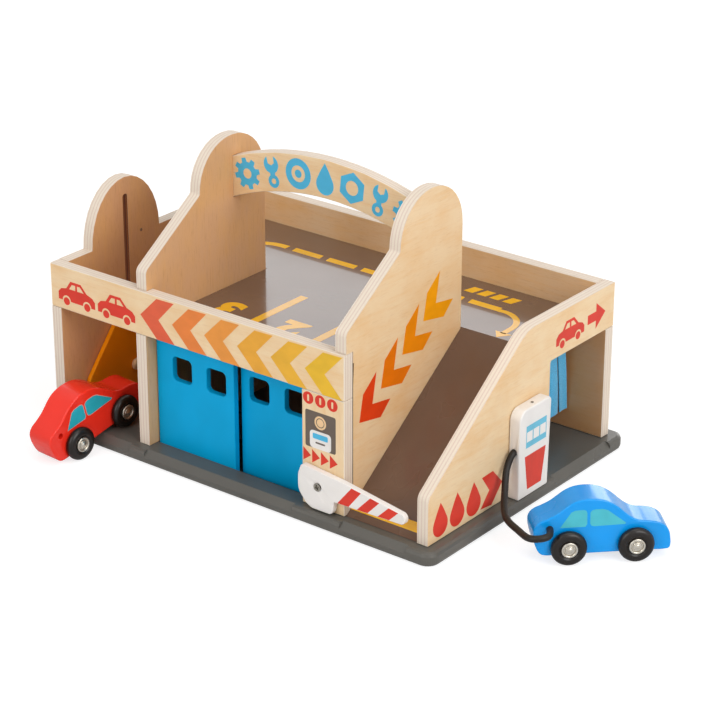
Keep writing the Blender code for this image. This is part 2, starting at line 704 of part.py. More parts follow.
def make_barrier():
    """Barrier arm on the pay post, and the screw that it turns on."""
    x, z = X_POST + ARM_PIVOT_IN, BASE_T + ARM_PIVOT_UP
    outline = rounded([
        (x - ARM_CROWN_BACK, z + ARM_CROWN, ARM_CROWN_R),
        (x + ARM_BEND_FORE, z + ARM_BEND, ARM_BEND_R),
        (x + ARM_REACH, z + ARM_TIP_TOP, ARM_TIP_TOP_R),
        (x + ARM_REACH, z - ARM_TIP_LOW, ARM_TIP_LOW_R),
        (x + ARM_ROOT_FORE, z - ARM_ROOT_LOW, ARM_ROOT_R),
        (x + ARM_CHIN_FORE, z - ARM_CHIN_LOW, ARM_CHIN_R),
        (x - ARM_BELLY_BACK, z - ARM_CHIN_LOW, ARM_BELLY_R),
        (x - ARM_NAPE_BACK, z - ARM_HEEL_LOW, ARM_HEEL_R),
        (x - ARM_NAPE_BACK, z + ARM_NAPE_UP, ARM_NAPE_R)])
    back = Y_FRONT - ARM_RUN
    mesh = flat_mesh("barrier_arm", outline, back - ARM_T, back, "Y")
    item = add_object("barrier_arm", mesh, WHITE, origin=(x, back, z))
    soften(item, SANDED)
    cut(item, rod_mesh("screw_hole", SCREW_R + SCREW_RUN, (x, back - PLY, z),
                       (x, back + PLY, z), PIVOT_STEPS))
    spare = SCREW_RUN + SEAM
    sink = bpy.data.meshes.new("screw_sink")
    shape = bmesh.new()
    depth = SCREW_HEAD_T + SANDED
    spread = depth * (SCREW_HEAD_R - SCREW_R) / SCREW_HEAD_T
    bmesh.ops.create_cone(shape, cap_ends=True, segments=PIVOT_STEPS, depth=depth,
                          radius1=SCREW_R + spare + spread, radius2=SCREW_R + spare)
    shape.to_mesh(sink)
    shape.free()
    face = back - ARM_T
    across = Matrix.Rotation(math.radians(-90), 4, "X")
    sink.transform(Matrix.Translation((x, face - SANDED + depth / 2, z)) @ across)
    cut(item, sink)
    tip = back + ARM_RUN + SCREW_BITE
    top = tip - face
    profile = [(0, top), (SCREW_HEAD_R, top), (SCREW_R, top - SCREW_HEAD_T),
               (SCREW_R, SCREW_POINT), (SCREW_POINT_R, 0), (0, 0)]
    place = Matrix.Translation((x, tip, z)) @ Matrix.Rotation(math.radians(90), 4, "X")
    turned_piece("barrier_screw", profile, NICKEL, PIVOT_STEPS, None, place)


def make_pump():
    """Fuel pump on the right side panel, with the hole that holds the hose."""
    y_low, y_high = Y_FRONT + PUMP_START, Y_FRONT + PUMP_START + PUMP_W
    top = Z_STAND + PUMP_H
    outline = rounded([(y_low, Z_STAND, 0), (y_high, Z_STAND, 0),
                       (y_high + PUMP_FLARE, top, PUMP_REAR_R), (y_low, top, PUMP_R)])
    x = X_RIGHT + SEAM
    item = add_object("gas_pump", flat_mesh("gas_pump", outline, x, x + PUMP_T, "X"), WHITE)
    soften(item, PUMP_EDGE_R, SOFT_EDGE_STEPS)
    mouth = hose_mouth()
    cut(item, rod_mesh("pump_hole", HOSE_D / 2 + SEAM, mouth - Vector((0, PUMP_T, 0)),
                       mouth + Vector((0, HOSE_SEAT, 0)), ROD_STEPS))


def hose_mouth():
    """Where the hose leaves the pump's front edge."""
    return Vector((X_RIGHT + SEAM + PUMP_T / 2, Y_FRONT + PUMP_START, BASE_T + HOSE_UP))


def car_frame(name, rear, heading, pitch):
    """Empty at the middle of a car's rear axle, +X ahead and +Z up."""
    item = bpy.data.objects.new(name, None)
    pieces.objects.link(item)
    item.location = (rear.x, rear.y, WHEEL_R)
    item.rotation_euler = (0, -pitch, heading)
    bpy.context.view_layer.update()
    return item


def car_outline():
    """Side view of a car: belly, tail, sloping roof and bonnet, from the rear axle."""
    floor = -WHEEL_R
    belly, waist, roof = floor + CAR_BELLY, floor + CAR_SHOULDER, floor + CAR_ROOF
    return rounded([
        (-CAR_TAIL_LOW, belly, CAR_SILL_R), (-CAR_TAIL, floor + CAR_TAIL_UP, CAR_END_R),
        (-CAR_BOOT, waist, CAR_BOOT_R), (-CAR_PILLAR, waist + CAR_PILLAR_UP, CAR_PILLAR_R),
        (CAR_ROOF_START, roof, CAR_ROOF_START_R), (CAR_ROOF_END, roof, CAR_ROOF_END_R),
        (CAR_SCREEN_FOOT, waist, CAR_SCREEN_FOOT_R),
        (CAR_BONNET, waist - CAR_BONNET_DROP, CAR_END_R),
        (CAR_NOSE, floor + CAR_NOSE_UP, CAR_END_R), (CAR_NOSE_LOW, belly, CAR_SILL_R)])


def make_car(name, frame, finish):
    """A car body with its axle bores and filler hole, two axles and four wheels."""
    mesh = flat_mesh(name + "_body", car_outline(), -CAR_W / 2, CAR_W / 2, "Y")
    body = add_object(name + "_body", mesh, finish, frame)
    soften(body, CAR_EDGE_R, SOFT_EDGE_STEPS)
    side = CAR_W
    hole_up = CAR_HOLE_UP - WHEEL_R
    for label, x in (("rear", 0.0), ("front", WHEELBASE)):
        cut(body, rod_mesh(name + "_" + label + "_bore", AXLE_R + AXLE_RUN, (x, -side, 0),
                           (x, side, 0), ROD_STEPS))
        make_wheelset(name + "_" + label, frame, x)
    cut(body, rod_mesh(name + "_filler", HOSE_D / 2 + SEAM, (-CAR_HOLE_BACK, -side, hole_up),
                       (-CAR_HOLE_BACK, HOSE_SEAT - CAR_W / 2, hole_up), ROD_STEPS))


def make_wheelset(name, frame, x):
    """An axle with its end caps, and a wheel near each end."""
    inner = CAR_W / 2 + WHEEL_CLEAR
    dish = WHEEL_T - WHEEL_DISH
    bore = AXLE_R + SEAM
    tread = [(bore, dish), (WHEEL_DISH_R, dish), (WHEEL_DISH_R + WHEEL_DISH_SLOPE, WHEEL_T),
             (WHEEL_R - WHEEL_OUTER_ROUND, WHEEL_T), (WHEEL_R, WHEEL_T - WHEEL_OUTER_ROUND),
             (WHEEL_R, WHEEL_INNER_ROUND), (WHEEL_R - WHEEL_INNER_ROUND, 0), (bore, 0)]
    end = inner + dish + SEAM
    half = [(0, end + BOSS_TOP), (BOSS_R, end + BOSS_T), (BOSS_FOOT_R, end + HUB_CUP_T),
            (HUB_CUP_R, end + HUB_CUP_T), (HUB_R, end + HUB_T), (HUB_R, end), (AXLE_R, end)]
    axle = half + [(r, -z) for r, z in reversed(half)]
    left = Matrix.Rotation(math.radians(-90), 4, "X")
    right = Matrix.Rotation(math.radians(90), 4, "X")
    place = Matrix.Translation((x, 0, 0))
    turned_piece(name + "_axle", axle, NICKEL, AXLE_STEPS, frame, place @ left)
    for side, turn, sign in (("left", left, 1), ("right", right, -1)):
        spot = Matrix.Translation((x, sign * inner, 0))
        turned_piece(name + "_" + side + "_wheel", tread, TYRE, WHEEL_STEPS, frame,
                     spot @ turn, closed=True)


def smooth_route(knots, count):
    """Points spaced evenly along a Catmull-Rom curve through the knots."""
    ends = [2 * knots[0] - knots[1]] + knots + [2 * knots[-1] - knots[-2]]
    fine = []
    for a, b, c, d in zip(ends, ends[1:], ends[2:], ends[3:]):
        for k in range(ROUTE_STEPS):
            t = k / ROUTE_STEPS
            fine.append(0.5 * (2 * b + (c - a) * t + (2 * a - 5 * b + 4 * c - d) * t * t
                               + (3 * b - a - 3 * c + d) * t ** 3))
    fine.append(knots[-1])
    total = [0.0]
    for a, b in zip(fine, fine[1:]):
        total.append(total[-1] + (b - a).length)
    points = []
    for k in range(count):
        goal = total[-1] * k / (count - 1)
        index = max(i for i in range(len(fine) - 1) if total[i] <= goal)
        share = (goal - total[index]) / (total[index + 1] - total[index])
        points.append(fine[index].lerp(fine[index + 1], share))
    return points


def make_hose(frame):
    """Hose from the pump's hole, in a low bow, into the blue car's filler hole."""
    mouth = hose_mouth()
    local = Vector((-CAR_HOLE_BACK, -CAR_W / 2, CAR_HOLE_UP - WHEEL_R))
    inward = (frame.matrix_world.to_3x3() @ Vector((0, 1, 0))).normalized()
    filler = frame.matrix_world @ local
    seat = HOSE_SEAT - SEAM
    bow = [mouth + Vector(step) for step in HOSE_BOW]
    knots = [mouth + Vector((0, seat, 0)), mouth - Vector((0, HOSE_D / 2, 0))] + bow
    knots += [filler - inward * (HOSE_D / 2), filler + inward * seat]
    curve = bpy.data.curves.new("fuel_hose", "CURVE")
    curve.dimensions = "3D"
    curve.bevel_depth = HOSE_D / 2
    curve.bevel_resolution = HOSE_SIDES_LEVEL
    curve.use_fill_caps = True
    points = smooth_route(knots, HOSE_POINTS)
    spline = curve.splines.new("POLY")
    spline.points.add(len(points) - 1)
    for spot, point in zip(points, spline.points):
        point.co = (*spot, 1)
    item = bpy.data.objects.new("fuel_hose", curve)
    pieces.objects.link(item)
    paint(item, RUBBER)


def make_curtain():
    """Batten under the deck and the felt strips that hang from it."""
    x = X_PANEL_R - CURTAIN_IN
    low, high = Y_EXIT + CURTAIN_END, Y_REAR_WALL - CURTAIN_END
    top = Z_DECK - SEAM
    batten = box_mesh("curtain_batten", (x - BATTEN_W / 2, low, top - BATTEN_H),
                      (x + BATTEN_W / 2, high, top))
    soften(add_object("curtain_batten", batten, BIRCH), SANDED)
    pitch = (high - low - STRIP_DRIFT) / STRIP_COUNT
    hang = top - BATTEN_H - SEAM
    for k in range(STRIP_COUNT):
        start = low + k * pitch
        end = start + pitch - STRIP_GAP
        outline = [(start, hang), (start + STRIP_DRIFT, STRIP_END),
                   (end + STRIP_DRIFT, STRIP_END), (end, hang)]
        name = "felt_strip_" + str(k + 1)
        mesh = flat_mesh(name, outline, x - STRIP_T / 2, x + STRIP_T / 2, "X")
        add_object(name, mesh, FELT, origin=(x, start, hang - STRIP_T / 2))


clear_scene()
pieces = new_collection("toy_service_station")
cutters = new_collection("cutters")

make_base()
make_left_panel()
make_towers()
make_sign()
make_right_panel()
make_rear_panel()
make_front()
make_deck()
make_ramp()
make_doors()
make_lift()
make_barrier()
make_pump()
make_curtain()

climb = math.asin(Z_STAND / WHEELBASE)
red_frame = car_frame("red_car_frame", RED_REAR, RED_HEADING, climb)
blue_frame = car_frame("blue_car_frame", BLUE_REAR, BLUE_HEADING, 0.0)
make_car("red_car", red_frame, CAR_RED)
make_car("blue_car", blue_frame, CAR_BLUE)
make_hose(blue_frame)

for piece in pieces.objects:
    if piece.type == "MESH":
        piece.data.shade_smooth()
        piece.data.set_sharp_from_angle(angle=SMOOTH_ANGLE)
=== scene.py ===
"""Looks of the wooden toy service station: finishes, prints, hose, felt, screws and cars.

The station's own frame runs from the left panel's outer face, the front faces and the
underside of the base, in millimetres. `at` turns such a place into metres in the row frame.
"""

import math

import bpy
from mathutils import Matrix, Vector


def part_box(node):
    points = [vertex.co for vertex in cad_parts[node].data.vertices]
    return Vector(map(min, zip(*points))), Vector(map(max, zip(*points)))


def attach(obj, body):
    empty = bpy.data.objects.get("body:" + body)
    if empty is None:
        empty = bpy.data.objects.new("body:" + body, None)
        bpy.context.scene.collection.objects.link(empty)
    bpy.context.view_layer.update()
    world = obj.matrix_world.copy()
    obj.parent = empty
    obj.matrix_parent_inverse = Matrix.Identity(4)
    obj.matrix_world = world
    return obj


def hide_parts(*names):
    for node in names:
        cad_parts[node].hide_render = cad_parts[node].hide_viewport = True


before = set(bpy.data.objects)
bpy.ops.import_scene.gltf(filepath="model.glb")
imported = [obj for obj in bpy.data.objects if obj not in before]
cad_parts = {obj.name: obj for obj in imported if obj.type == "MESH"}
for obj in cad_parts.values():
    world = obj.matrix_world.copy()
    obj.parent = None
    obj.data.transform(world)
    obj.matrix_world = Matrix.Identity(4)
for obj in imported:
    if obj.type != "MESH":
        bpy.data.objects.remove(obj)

bl_info = {
    "name": "Wooden toy service station",
    "version": (1, 0, 0),
    "blender": (4, 5, 0),
    "location": "View3D > Sidebar > Station",
    "description": "Prints, finishes and soft parts of a wooden toy service station",
    "category": "Object",
}

MM = 0.001
RIGHT, BACK, UP = (1, 0, 0), (0, 1, 0), (0, 0, 1)
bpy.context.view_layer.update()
LEFT_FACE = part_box("left_side_panel")[0].x
FRONT_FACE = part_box("front_beam")[0].y
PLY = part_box("front_beam")[1].y - FRONT_FACE
PLY_LAYERS = 7.0

# Each car's rear axle on the floor plan, in metres, and its heading in degrees
CARS = {"red_car": ((-0.1421, -0.1512), 85.75), "blue_car": ((0.2552, -0.0499), 45.0)}
CAR_HALF = 12.5 * MM
# The filler hole in a car's right side: forward of the rear axle, and up from the floor
FILLER = (-14.0 * MM, 28.1 * MM)

# Corners sharper than the first three angles stay sharp when shaded, those over the last are
# rolled off by a bevel
SKIN_CORNER, TURNED_CORNER, SCREW_CORNER, ROLLED_CORNER = (
    math.radians(angle) for angle in (34, 42, 40, 50))
# Points nearer than this are one point, on a solid, a print and a car's outline
WELD, PRINT_WELD, OUTLINE_WELD = 0.005 * MM, 0.002 * MM, 0.01 * MM
# How finely holes, screws, turned pieces, round corners and the hose's route are divided
HOLE_SIDES, SCREW_SIDES, SPIN_STEPS, ROUND_POINTS, ROUTE_STEPS = 32, 40, 48, 5, 24
# A screw head's depth, tip, rolled edge and recess arms, as shares of its width
SCREW_DEPTH, SCREW_TIP, SCREW_ROLL, ARM_LENGTH, ARM_WIDTH = 0.26, 0.28, 0.03, 0.66, 0.19
ARM_DEPTH, ARM_TURNS = 1.5, (20, 110)
# A surface turns from edge to face where its normal's part along the axis runs between these
EDGE_ENDS, FACE_STARTS = 0.80, 0.86


def linear(code):
    """Turn an sRGB hex colour into linear values."""
    channels = [int(code[i:i + 2], 16) / 255 for i in (0, 2, 4)]
    return [c / 12.92 if c <= 0.04045 else ((c + 0.055) / 1.055) ** 2.4 for c in channels]


def at(x, y, z):
    """A place in the station's own millimetres, in metres in the row frame."""
    return Vector((LEFT_FACE + x * MM, FRONT_FACE + y * MM, z * MM))


def right_face(node):
    """Where a node's right face lies in the station's own millimetres."""
    return (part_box(node)[1].x - LEFT_FACE) / MM


def colour(name, about, code):
    """A colour property with its default."""
    return bpy.props.FloatVectorProperty(
        name=name, description=about, subtype="COLOR", size=3, min=0, max=1,
        default=linear(code))


def length(name, about, value):
    """A length property with its default in metres."""
    return bpy.props.FloatProperty(
        name=name, description=about, default=value, min=0, precision=5, unit="LENGTH")


class StationSizes(bpy.types.PropertyGroup):
    """Sizes of the printed, soft and small parts."""

    hose_diameter: length("Hose diameter", "Thickness of the round hose", 5.2 * MM)
    ink_thickness: length("Ink thickness", "How far a print stands proud", 0.06 * MM)
    felt_thickness: length("Felt thickness", "Thickness of a curtain strip", 1.0 * MM)
    deck_line: length("Deck line", "Width of a line on the deck", 7.4 * MM)
    numeral_height: length("Numeral height", "Height of a bay's number", 25 * MM)
    numeral_swell: length("Numeral swell", "How far a bay's number is made bolder", 1.9 * MM)
    screw_head: length("Screw head", "Diameter of the barrier's screw", 6.4 * MM)
    nail_head: length("Nail head", "Diameter of a small nail's head", 2.4 * MM)


class StationColours(bpy.types.PropertyGroup):
    """Colours of the woods, paints, inks and felt."""

    birch: colour("Birch", "Pale face veneer", "EDD1A8")
    honey: colour("Honey", "Warm figure in the veneer", "E2AD6A")
    # Painted shade: the tan that stands in for the shade on the inner panels
    shade_tan: colour("Toast", "Darker painted_shade of the inner panels", "C4763A")
    fleck: colour("Fleck", "Fine brown vessels in the veneer", "A9683A")
    ply_light: colour("Ply, long grain", "Pale layer on a sawn edge", "E5D8C6")
    ply_dark: colour("Ply, end grain", "Pinker layer on a sawn edge", "D6BFB0")
    base: colour("Base paint", "Grey paint of the base board", "605D57")
    deck: colour("Deck paint", "Brown grey gloss of deck and ramp", "6B5243")
    door: colour("Door paint", "Blue paint of the doors", "00A6DC")
    guard: colour("Lift paint", "Orange paint of the lift's guard", "FF980A")
    white: colour("White paint", "White of the barrier and the pump", "EFEAE5")
    red: colour("Red ink", "Red of signs, stripes and the pump", "DC3826")
    yellow: colour("Yellow ink", "Yellow of the deck's lines", "F7B90F")
    sky: colour("Sky ink", "Blue of the curved sign and the pump", "4FB9E2")
    panel: colour("Panel ink", "Grey brown of the ticket picture", "6A5D53")
    felt: colour("Felt", "Blue felt of the curtain", "45B6F6")
    hose: colour("Hose", "Black rubber of the hose", "18120D")
    red_car: colour("Red car", "Red lacquer of the first car", "F0301F")
    blue_car: colour("Blue car", "Blue lacquer of the second car", "0598EA")
    glass: colour("Car windows", "Sea green of the painted windows", "4CBAC9")
    wheel: colour("Wheels", "Black lacquer of the wheels", "17110D")
    nickel: colour("Nickel", "Plated steel of axles and screws", "CBC4B7")


def sizes():
    """The scene's size properties."""
    return bpy.context.scene.station_sizes


def colours():
    """The scene's colour properties."""
    return bpy.context.scene.station_colours


def rgba(value):
    """A colour with full opacity."""
    return (*value[:3], 1.0)


def scaled(tone, share):
    """A colour made deeper by a share."""
    return [c * share for c in tone[:3]]


def add_node(tree, kind, inputs=None, **settings):
    """Add a shader node, set it up, and fill or link its inputs."""
    made = tree.nodes.new("ShaderNode" + kind)
    for key, value in settings.items():
        setattr(made, key, value)
    for key, value in (inputs or {}).items():
        if isinstance(value, bpy.types.NodeSocket):
            tree.links.new(value, made.inputs[key])
        else:
            made.inputs[key].default_value = value
    return made


def new_material(name, roughness, **shader_values):
    """A material, its tree, and the place on the object that its patterns follow."""
    made = bpy.data.materials.new(name)
    made.use_nodes = True
    tree = made.node_tree
    shader = tree.nodes["Principled BSDF"]
    for key, value in {"roughness": roughness, **shader_values}.items():
        socket = key.replace("_", " ").title().replace("Ior", "IOR")
        shader.inputs[socket].default_value = value
    return made, tree, add_node(tree, "TexCoord").outputs["Object"]


def calc(tree, operation, *values):
    """The result socket of a sum."""
    return add_node(tree, "Math", dict(enumerate(values)), operation=operation).outputs[0]


def mixed(tree, factor, first, second):
    """The result socket of a colour mix."""
    made = add_node(tree, "Mix", {"Factor": factor, 6: first, 7: second}, data_type="RGBA")
    return made.outputs[2]


def mapped(tree, value, low, high, start=0.0, end=1.0):
    """A socket's value carried from one range to another, and kept inside it."""
    return add_node(tree, "MapRange", {"Value": value, "From Min": low, "From Max": high,
                                       "To Min": start, "To Max": end}).outputs["Result"]


def flecked(tree, under, over, noise, low, high, share=1.0):
    """A colour with another laid over it where a noise runs high."""
    return mixed(tree, mapped(tree, noise, low, high, 0.0, share), under, rgba(over))


def speckle(tree, place, across, along, axis, detail=2.0, roughness=0.5, shift=0.0):
    """Noise whose grains are so many millimetres across, and longer along one axis."""
    scale = [1 / (across * MM)] * 3
    scale["XYZ".index(axis)] = 1 / (along * MM)
    spot = add_node(tree, "Mapping", {"Vector": place, "Location": (shift, shift, shift),
                                      "Scale": scale})
    noise = add_node(tree, "TexNoise", {"Vector": spot.outputs[0], "Scale": 1.0,
                                        "Detail": detail, "Roughness": roughness})
    return noise.outputs["Fac"]


def surfaced(made, tone, height, distance, strength, rough=None):
    """Send a colour, a height and perhaps a roughness to a material's shader."""
    tree = made.node_tree
    shader = tree.nodes["Principled BSDF"]
    bump = add_node(tree, "Bump", {"Height": height, "Distance": distance,
                                   "Strength": strength})
    tree.links.new(tone, shader.inputs["Base Color"])
    tree.links.new(bump.outputs[0], shader.inputs["Normal"])
    if rough is not None:
        tree.links.new(rough, shader.inputs["Roughness"])
    return made


def birch_veneer(tree, place, grain, shift, warm):
    """Colour and height of a clear-lacquered birch face whose grain runs along an axis."""
    tones = colours()
    # Rotary-cut birch: clouds 26 mm wide, figure 5 mm, lines 1 mm and vessels 0.35 mm
    cloud = speckle(tree, place, 26, 40, grain, 3.0, 0.55, shift + 3.1)
    figure = speckle(tree, place, 5.0, 48, grain, 4.0, 0.65, shift)
    line = speckle(tree, place, 1.0, 13, grain, 3.0, 0.6, shift + 5.2)
    vessel = speckle(tree, place, 0.35, 5.0, grain, 1.0, 0.5, shift + 7.7)
    # Painted shade: the warm share darkens and reddens the veneer and thickens its brown streaks,
    # on panels that stand in shade
    face = mixed(tree, warm, rgba(tones.birch), rgba(tones.shade_tan))
    face = flecked(tree, face, tones.honey, cloud, 0.40, 0.76, 0.56)
    face = flecked(tree, face, tones.honey, figure, 0.48, 0.72, 0.34)
    face = flecked(tree, face, tones.fleck, line, 0.55, 0.78, 0.14 + warm * 0.4)
    face = flecked(tree, face, tones.fleck, vessel, 0.66, 0.80, 0.22 + warm * 0.4)
    return face, vessel


def ply_material(name, node, across, grain, shift, warm, worn=False, lane=0.0):
    """Clear-lacquered birch plywood: a pale figured face, and seven layers on its edges."""
    made, tree, place = new_material(name, 0.42, specular_ior_level=0.35)
    tones = colours()
    axis = "XYZ".index(across)
    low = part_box(node)[0][axis]
    normal = add_node(tree, "TexCoord").outputs["Normal"]
    spot = add_node(tree, "SeparateXYZ", {0: place})
    facing = add_node(tree, "SeparateXYZ", {0: normal})
    face, vessel = birch_veneer(tree, place, grain, shift, warm)
    along, end = tones.ply_light, tones.ply_dark
    if worn:
        # Painted shade: the slot's walls are drawn dark brown, for the shade inside the narrow slot
        along, end = tones.fleck, scaled(tones.fleck, 0.30)
    # Layers turned crosswise in turn, with thin glue lines between them
    depth = mapped(tree, spot.outputs[axis], low, low + PLY)
    wave = calc(tree, "PINGPONG", calc(tree, "MULTIPLY", depth, PLY_LAYERS), 1.0)
    rough = speckle(tree, place, 0.6, 14, grain, 2.0, 0.6, shift)
    edge = flecked(tree, rgba(along), end, wave, 0.50, 0.80, 0.75)
    edge = flecked(tree, edge, tones.fleck, rough, 0.45, 0.75, 0.10)
    if lane:
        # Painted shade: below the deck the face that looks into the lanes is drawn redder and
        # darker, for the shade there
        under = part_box("deck")[0].z
        inner = mapped(tree, facing.outputs[1], -EDGE_ENDS, -FACE_STARTS)
        below = mapped(tree, spot.outputs[2], under + 4 * MM, under, 0.0, lane)
        face = mixed(tree, calc(tree, "MULTIPLY", inner, below), face, rgba(tones.shade_tan))
    is_face = mapped(tree, calc(tree, "ABSOLUTE", facing.outputs[axis]),
                     EDGE_ENDS, FACE_STARTS)
    return surfaced(made, mixed(tree, is_face, edge, face), mixed(tree, is_face, rough, vessel),
                    0.06 * MM, 0.30, mapped(tree, is_face, 0.0, 1.0, 0.62, 0.42))


def turned_birch(name):
    """Turned birch rod and knob: long grain on the side and rings cut by the lathe."""
    made, tree, place = new_material(name, 0.45)
    # A small share of painted shade makes the turned birch warmer and darker
    face, vessel = birch_veneer(tree, place, "X", 4.0, 0.15)
    rings = speckle(tree, place, 30, 0.4, "X", 1.0)
    return surfaced(made, face, calc(tree, "ADD", vessel, rings), 0.05 * MM, 0.3)


def sprayed_paint(name, tone, roughness, grain="X", show=0.25, coat=0.0, shine=0.3):
    """Sprayed lacquer on wood: orange peel, faint grain below it, and uneven gloss."""
    made, tree, place = new_material(name, roughness, coat_weight=coat, coat_roughness=0.05,
                                     specular_ior_level=shine)
    # Orange peel is about 0.7 mm across, drawn a little coarser so that it shows
    peel = speckle(tree, place, 0.9, 0.9, grain, 1.0)
    wood = speckle(tree, place, 0.8, 16, grain, 2.0, 0.6)
    cloud = speckle(tree, place, 35, 50, grain, 2.0)
    deep = scaled(tone, 0.88)
    soft = flecked(tree, rgba(tone), deep, cloud, 0.35, 0.70)
    soft = flecked(tree, soft, deep, wood, 0.60, 0.80, show)
    return surfaced(made, soft, calc(tree, "ADD", peel, wood), 0.04 * MM, 0.18,
                    mapped(tree, cloud, 0.3, 0.7, roughness * 0.85, roughness * 1.2))


def screen_ink(name, tone, grain="X", shift=0.0, rough=0.38, gloss=0.0):
    """Screen-printed ink on veneer: even colour with tiny breaks over the open grain."""
    made, tree, place = new_material(name, rough, specular_ior_level=0.25, coat_weight=gloss,
                                     coat_roughness=0.05)
    vessel = speckle(tree, place, 0.35, 4.0, grain, 1.0, 0.5, shift)
    cloud = speckle(tree, place, 9, 16, grain, 2.0)
    deep = scaled(tone, 0.90)
    ink = flecked(tree, rgba(tone), deep, cloud, 0.35, 0.70)
    ink = flecked(tree, ink, deep, vessel, 0.72, 0.85, 0.35)
    return surfaced(made, ink, vessel, 0.03 * MM, 0.3)


def felt_material(name, tone):
    """Pressed wool felt: matted fibres, a soft sheen and no weave."""
    made, tree, place = new_material(name, 0.95, sheen_weight=0.6, sheen_roughness=0.5)
    fibre = speckle(tree, place, 0.35, 1.6, "Z", 3.0, 0.7)
    other = speckle(tree, place, 0.35, 1.6, "Y", 3.0, 0.7, 5.0)
    both = calc(tree, "MULTIPLY", fibre, other)
    pale = [min(1, c * 1.35 + 0.02) for c in tone[:3]]
    wool = flecked(tree, rgba(scaled(tone, 0.62)), pale, both, 0.12, 0.42)
    return surfaced(made, wool, both, 0.25 * MM, 0.8)


def rubber_material(name, tone):
    """Extruded rubber: near black, with fine drawn lines and a dull shine."""
    made, tree, place = new_material(name, 0.5, specular_ior_level=0.3)
    fine = speckle(tree, place, 0.45, 1.2, "Z", 2.0)
    pale = [c * 1.8 + 0.004 for c in tone[:3]]
    return surfaced(made, flecked(tree, rgba(tone), pale, fine, 0.45, 0.75), fine,
                    0.06 * MM, 0.5)


def plated_steel(name, tone, rough=0.24):
    """Nickel-plated steel: bright and warm, with fine marks from pressing."""
    made, tree, place = new_material(name, rough, metallic=1.0)
    fine = speckle(tree, place, 0.5, 0.5, "Z", 3.0, 0.7)
    return surfaced(made, flecked(tree, rgba(tone), scaled(tone, 0.72), fine, 0.45, 0.75), fine,
                    0.02 * MM, 0.4, mapped(tree, fine, 0.3, 0.7, rough * 0.7, rough * 1.6))


def clear_selection():
    """Leave edit mode and select nothing."""
    if bpy.context.object and bpy.context.object.mode != "OBJECT":
        bpy.ops.object.mode_set(mode="OBJECT")
    bpy.ops.object.select_all(action="DESELECT")


def select_only(item):
    """Select one object and make it the active one."""
    clear_selection()
    item.select_set(True)
    bpy.context.view_layer.objects.active = item


def linked(name, data):
    """A new object in the scene that holds the data."""
    item = bpy.data.objects.new(name, data)
    bpy.context.scene.collection.objects.link(item)
    return item


def weld(reach=WELD):
    """Join the active mesh's doubled points and turn its faces outwards."""
    bpy.ops.object.mode_set(mode="EDIT")
    bpy.ops.mesh.select_all(action="SELECT")
    bpy.ops.mesh.remove_doubles(threshold=reach)
    bpy.ops.mesh.normals_make_consistent(inside=False)
    bpy.ops.object.mode_set(mode="OBJECT")


def modify(item, kind, **settings):
    """Add a modifier to the active piece, set it up and apply it."""
    made = item.modifiers.new(kind.title(), kind)
    for key, value in settings.items():
        setattr(made, key, value)
    bpy.ops.object.modifier_apply(modifier=made.name)


def roll_edges(item, width, segments):
    """Round off the active piece's corners."""
    modify(item, "BEVEL", width=width, segments=segments, limit_method="ANGLE",
           angle_limit=ROLLED_CORNER)


def shade_evenly(item):
    """Shade the selected piece smooth up to its corners, led by its large faces."""
    bpy.ops.object.shade_smooth_by_angle(angle=SKIN_CORNER)
    modify(item, "WEIGHTED_NORMAL", keep_sharp=True)


def keep(item, name, body, material):
    """Name a finished piece, bake its place into its mesh, and join it to its body."""
    select_only(item)
    bpy.ops.object.transform_apply(location=True, rotation=True, scale=True)
    item.name = item.data.name = name
    item.data.materials.clear()
    item.data.materials.append(material)
    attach(item, body)
    clear_selection()
    return item


def smooth_copy(node, body, material):
    """A curved node's copy whose facets are joined and shaded as one skin."""
    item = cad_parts[node].copy()
    item.data = item.data.copy()
    bpy.context.scene.collection.objects.link(item)
    place = item.matrix_world.copy()
    item.parent = None
    item.matrix_world = place
    select_only(item)
    weld()
    shade_evenly(item)
    keep(item, node + "_skin", body, material)
    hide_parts(node)
    return item


def cut_away(item, tool):
    """Take a tool's shape out of a piece, and the tool out of the scene."""
    clear_selection()
    bpy.context.view_layer.objects.active = item
    modify(item, "BOOLEAN", object=tool, operation="DIFFERENCE", solver="EXACT")
    bpy.data.objects.remove(tool, do_unlink=True)


def drill(item, spot, radius, low, high):
    """Bore a round hole along Z between two heights."""
    clear_selection()
    bpy.ops.mesh.primitive_cylinder_add(vertices=HOLE_SIDES, radius=radius, depth=high - low,
                                        location=(*spot, (low + high) / 2))
    cut_away(item, bpy.context.object)


def turned(name, profile, place, closed=False):
    """A turned piece: radii and heights in millimetres, spun about Z, then placed."""
    count = len(profile)
    edges = [(k, (k + 1) % count) for k in range(count if closed else count - 1)]
    data = bpy.data.meshes.new(name)
    data.from_pydata([(r * MM, 0, z * MM) for r, z in profile], edges, [])
    item = linked(name, data)
    select_only(item)
    bpy.ops.object.mode_set(mode="EDIT")
    bpy.ops.mesh.select_all(action="SELECT")
    bpy.ops.mesh.spin(steps=SPIN_STEPS, angle=math.tau, center=(0, 0, 0), axis=UP)
    weld()
    bpy.ops.object.shade_smooth_by_angle(angle=TURNED_CORNER)
    item.matrix_world = place
    return item


def cross_screw(name, place, width, material):
    """A countersunk screw head with a cross recess, its face at the place's origin."""
    clear_selection()
    deep = width * SCREW_DEPTH
    bpy.ops.mesh.primitive_cone_add(vertices=SCREW_SIDES, radius1=width * SCREW_TIP,
                                    radius2=width / 2, depth=deep, location=(0, 0, -deep / 2))
    head = bpy.context.object
    for turn in ARM_TURNS:
        bpy.ops.mesh.primitive_cube_add(size=1, rotation=(0, 0, math.radians(turn)))
        arm = bpy.context.object
        arm.scale = (width * ARM_LENGTH, width * ARM_WIDTH, deep * ARM_DEPTH)
        cut_away(head, arm)
    modify(head, "BEVEL", width=width * SCREW_ROLL, segments=2)
    bpy.ops.object.shade_smooth_by_angle(angle=SCREW_CORNER)
    head.matrix_world = place
    return keep(head, name, "station", material)


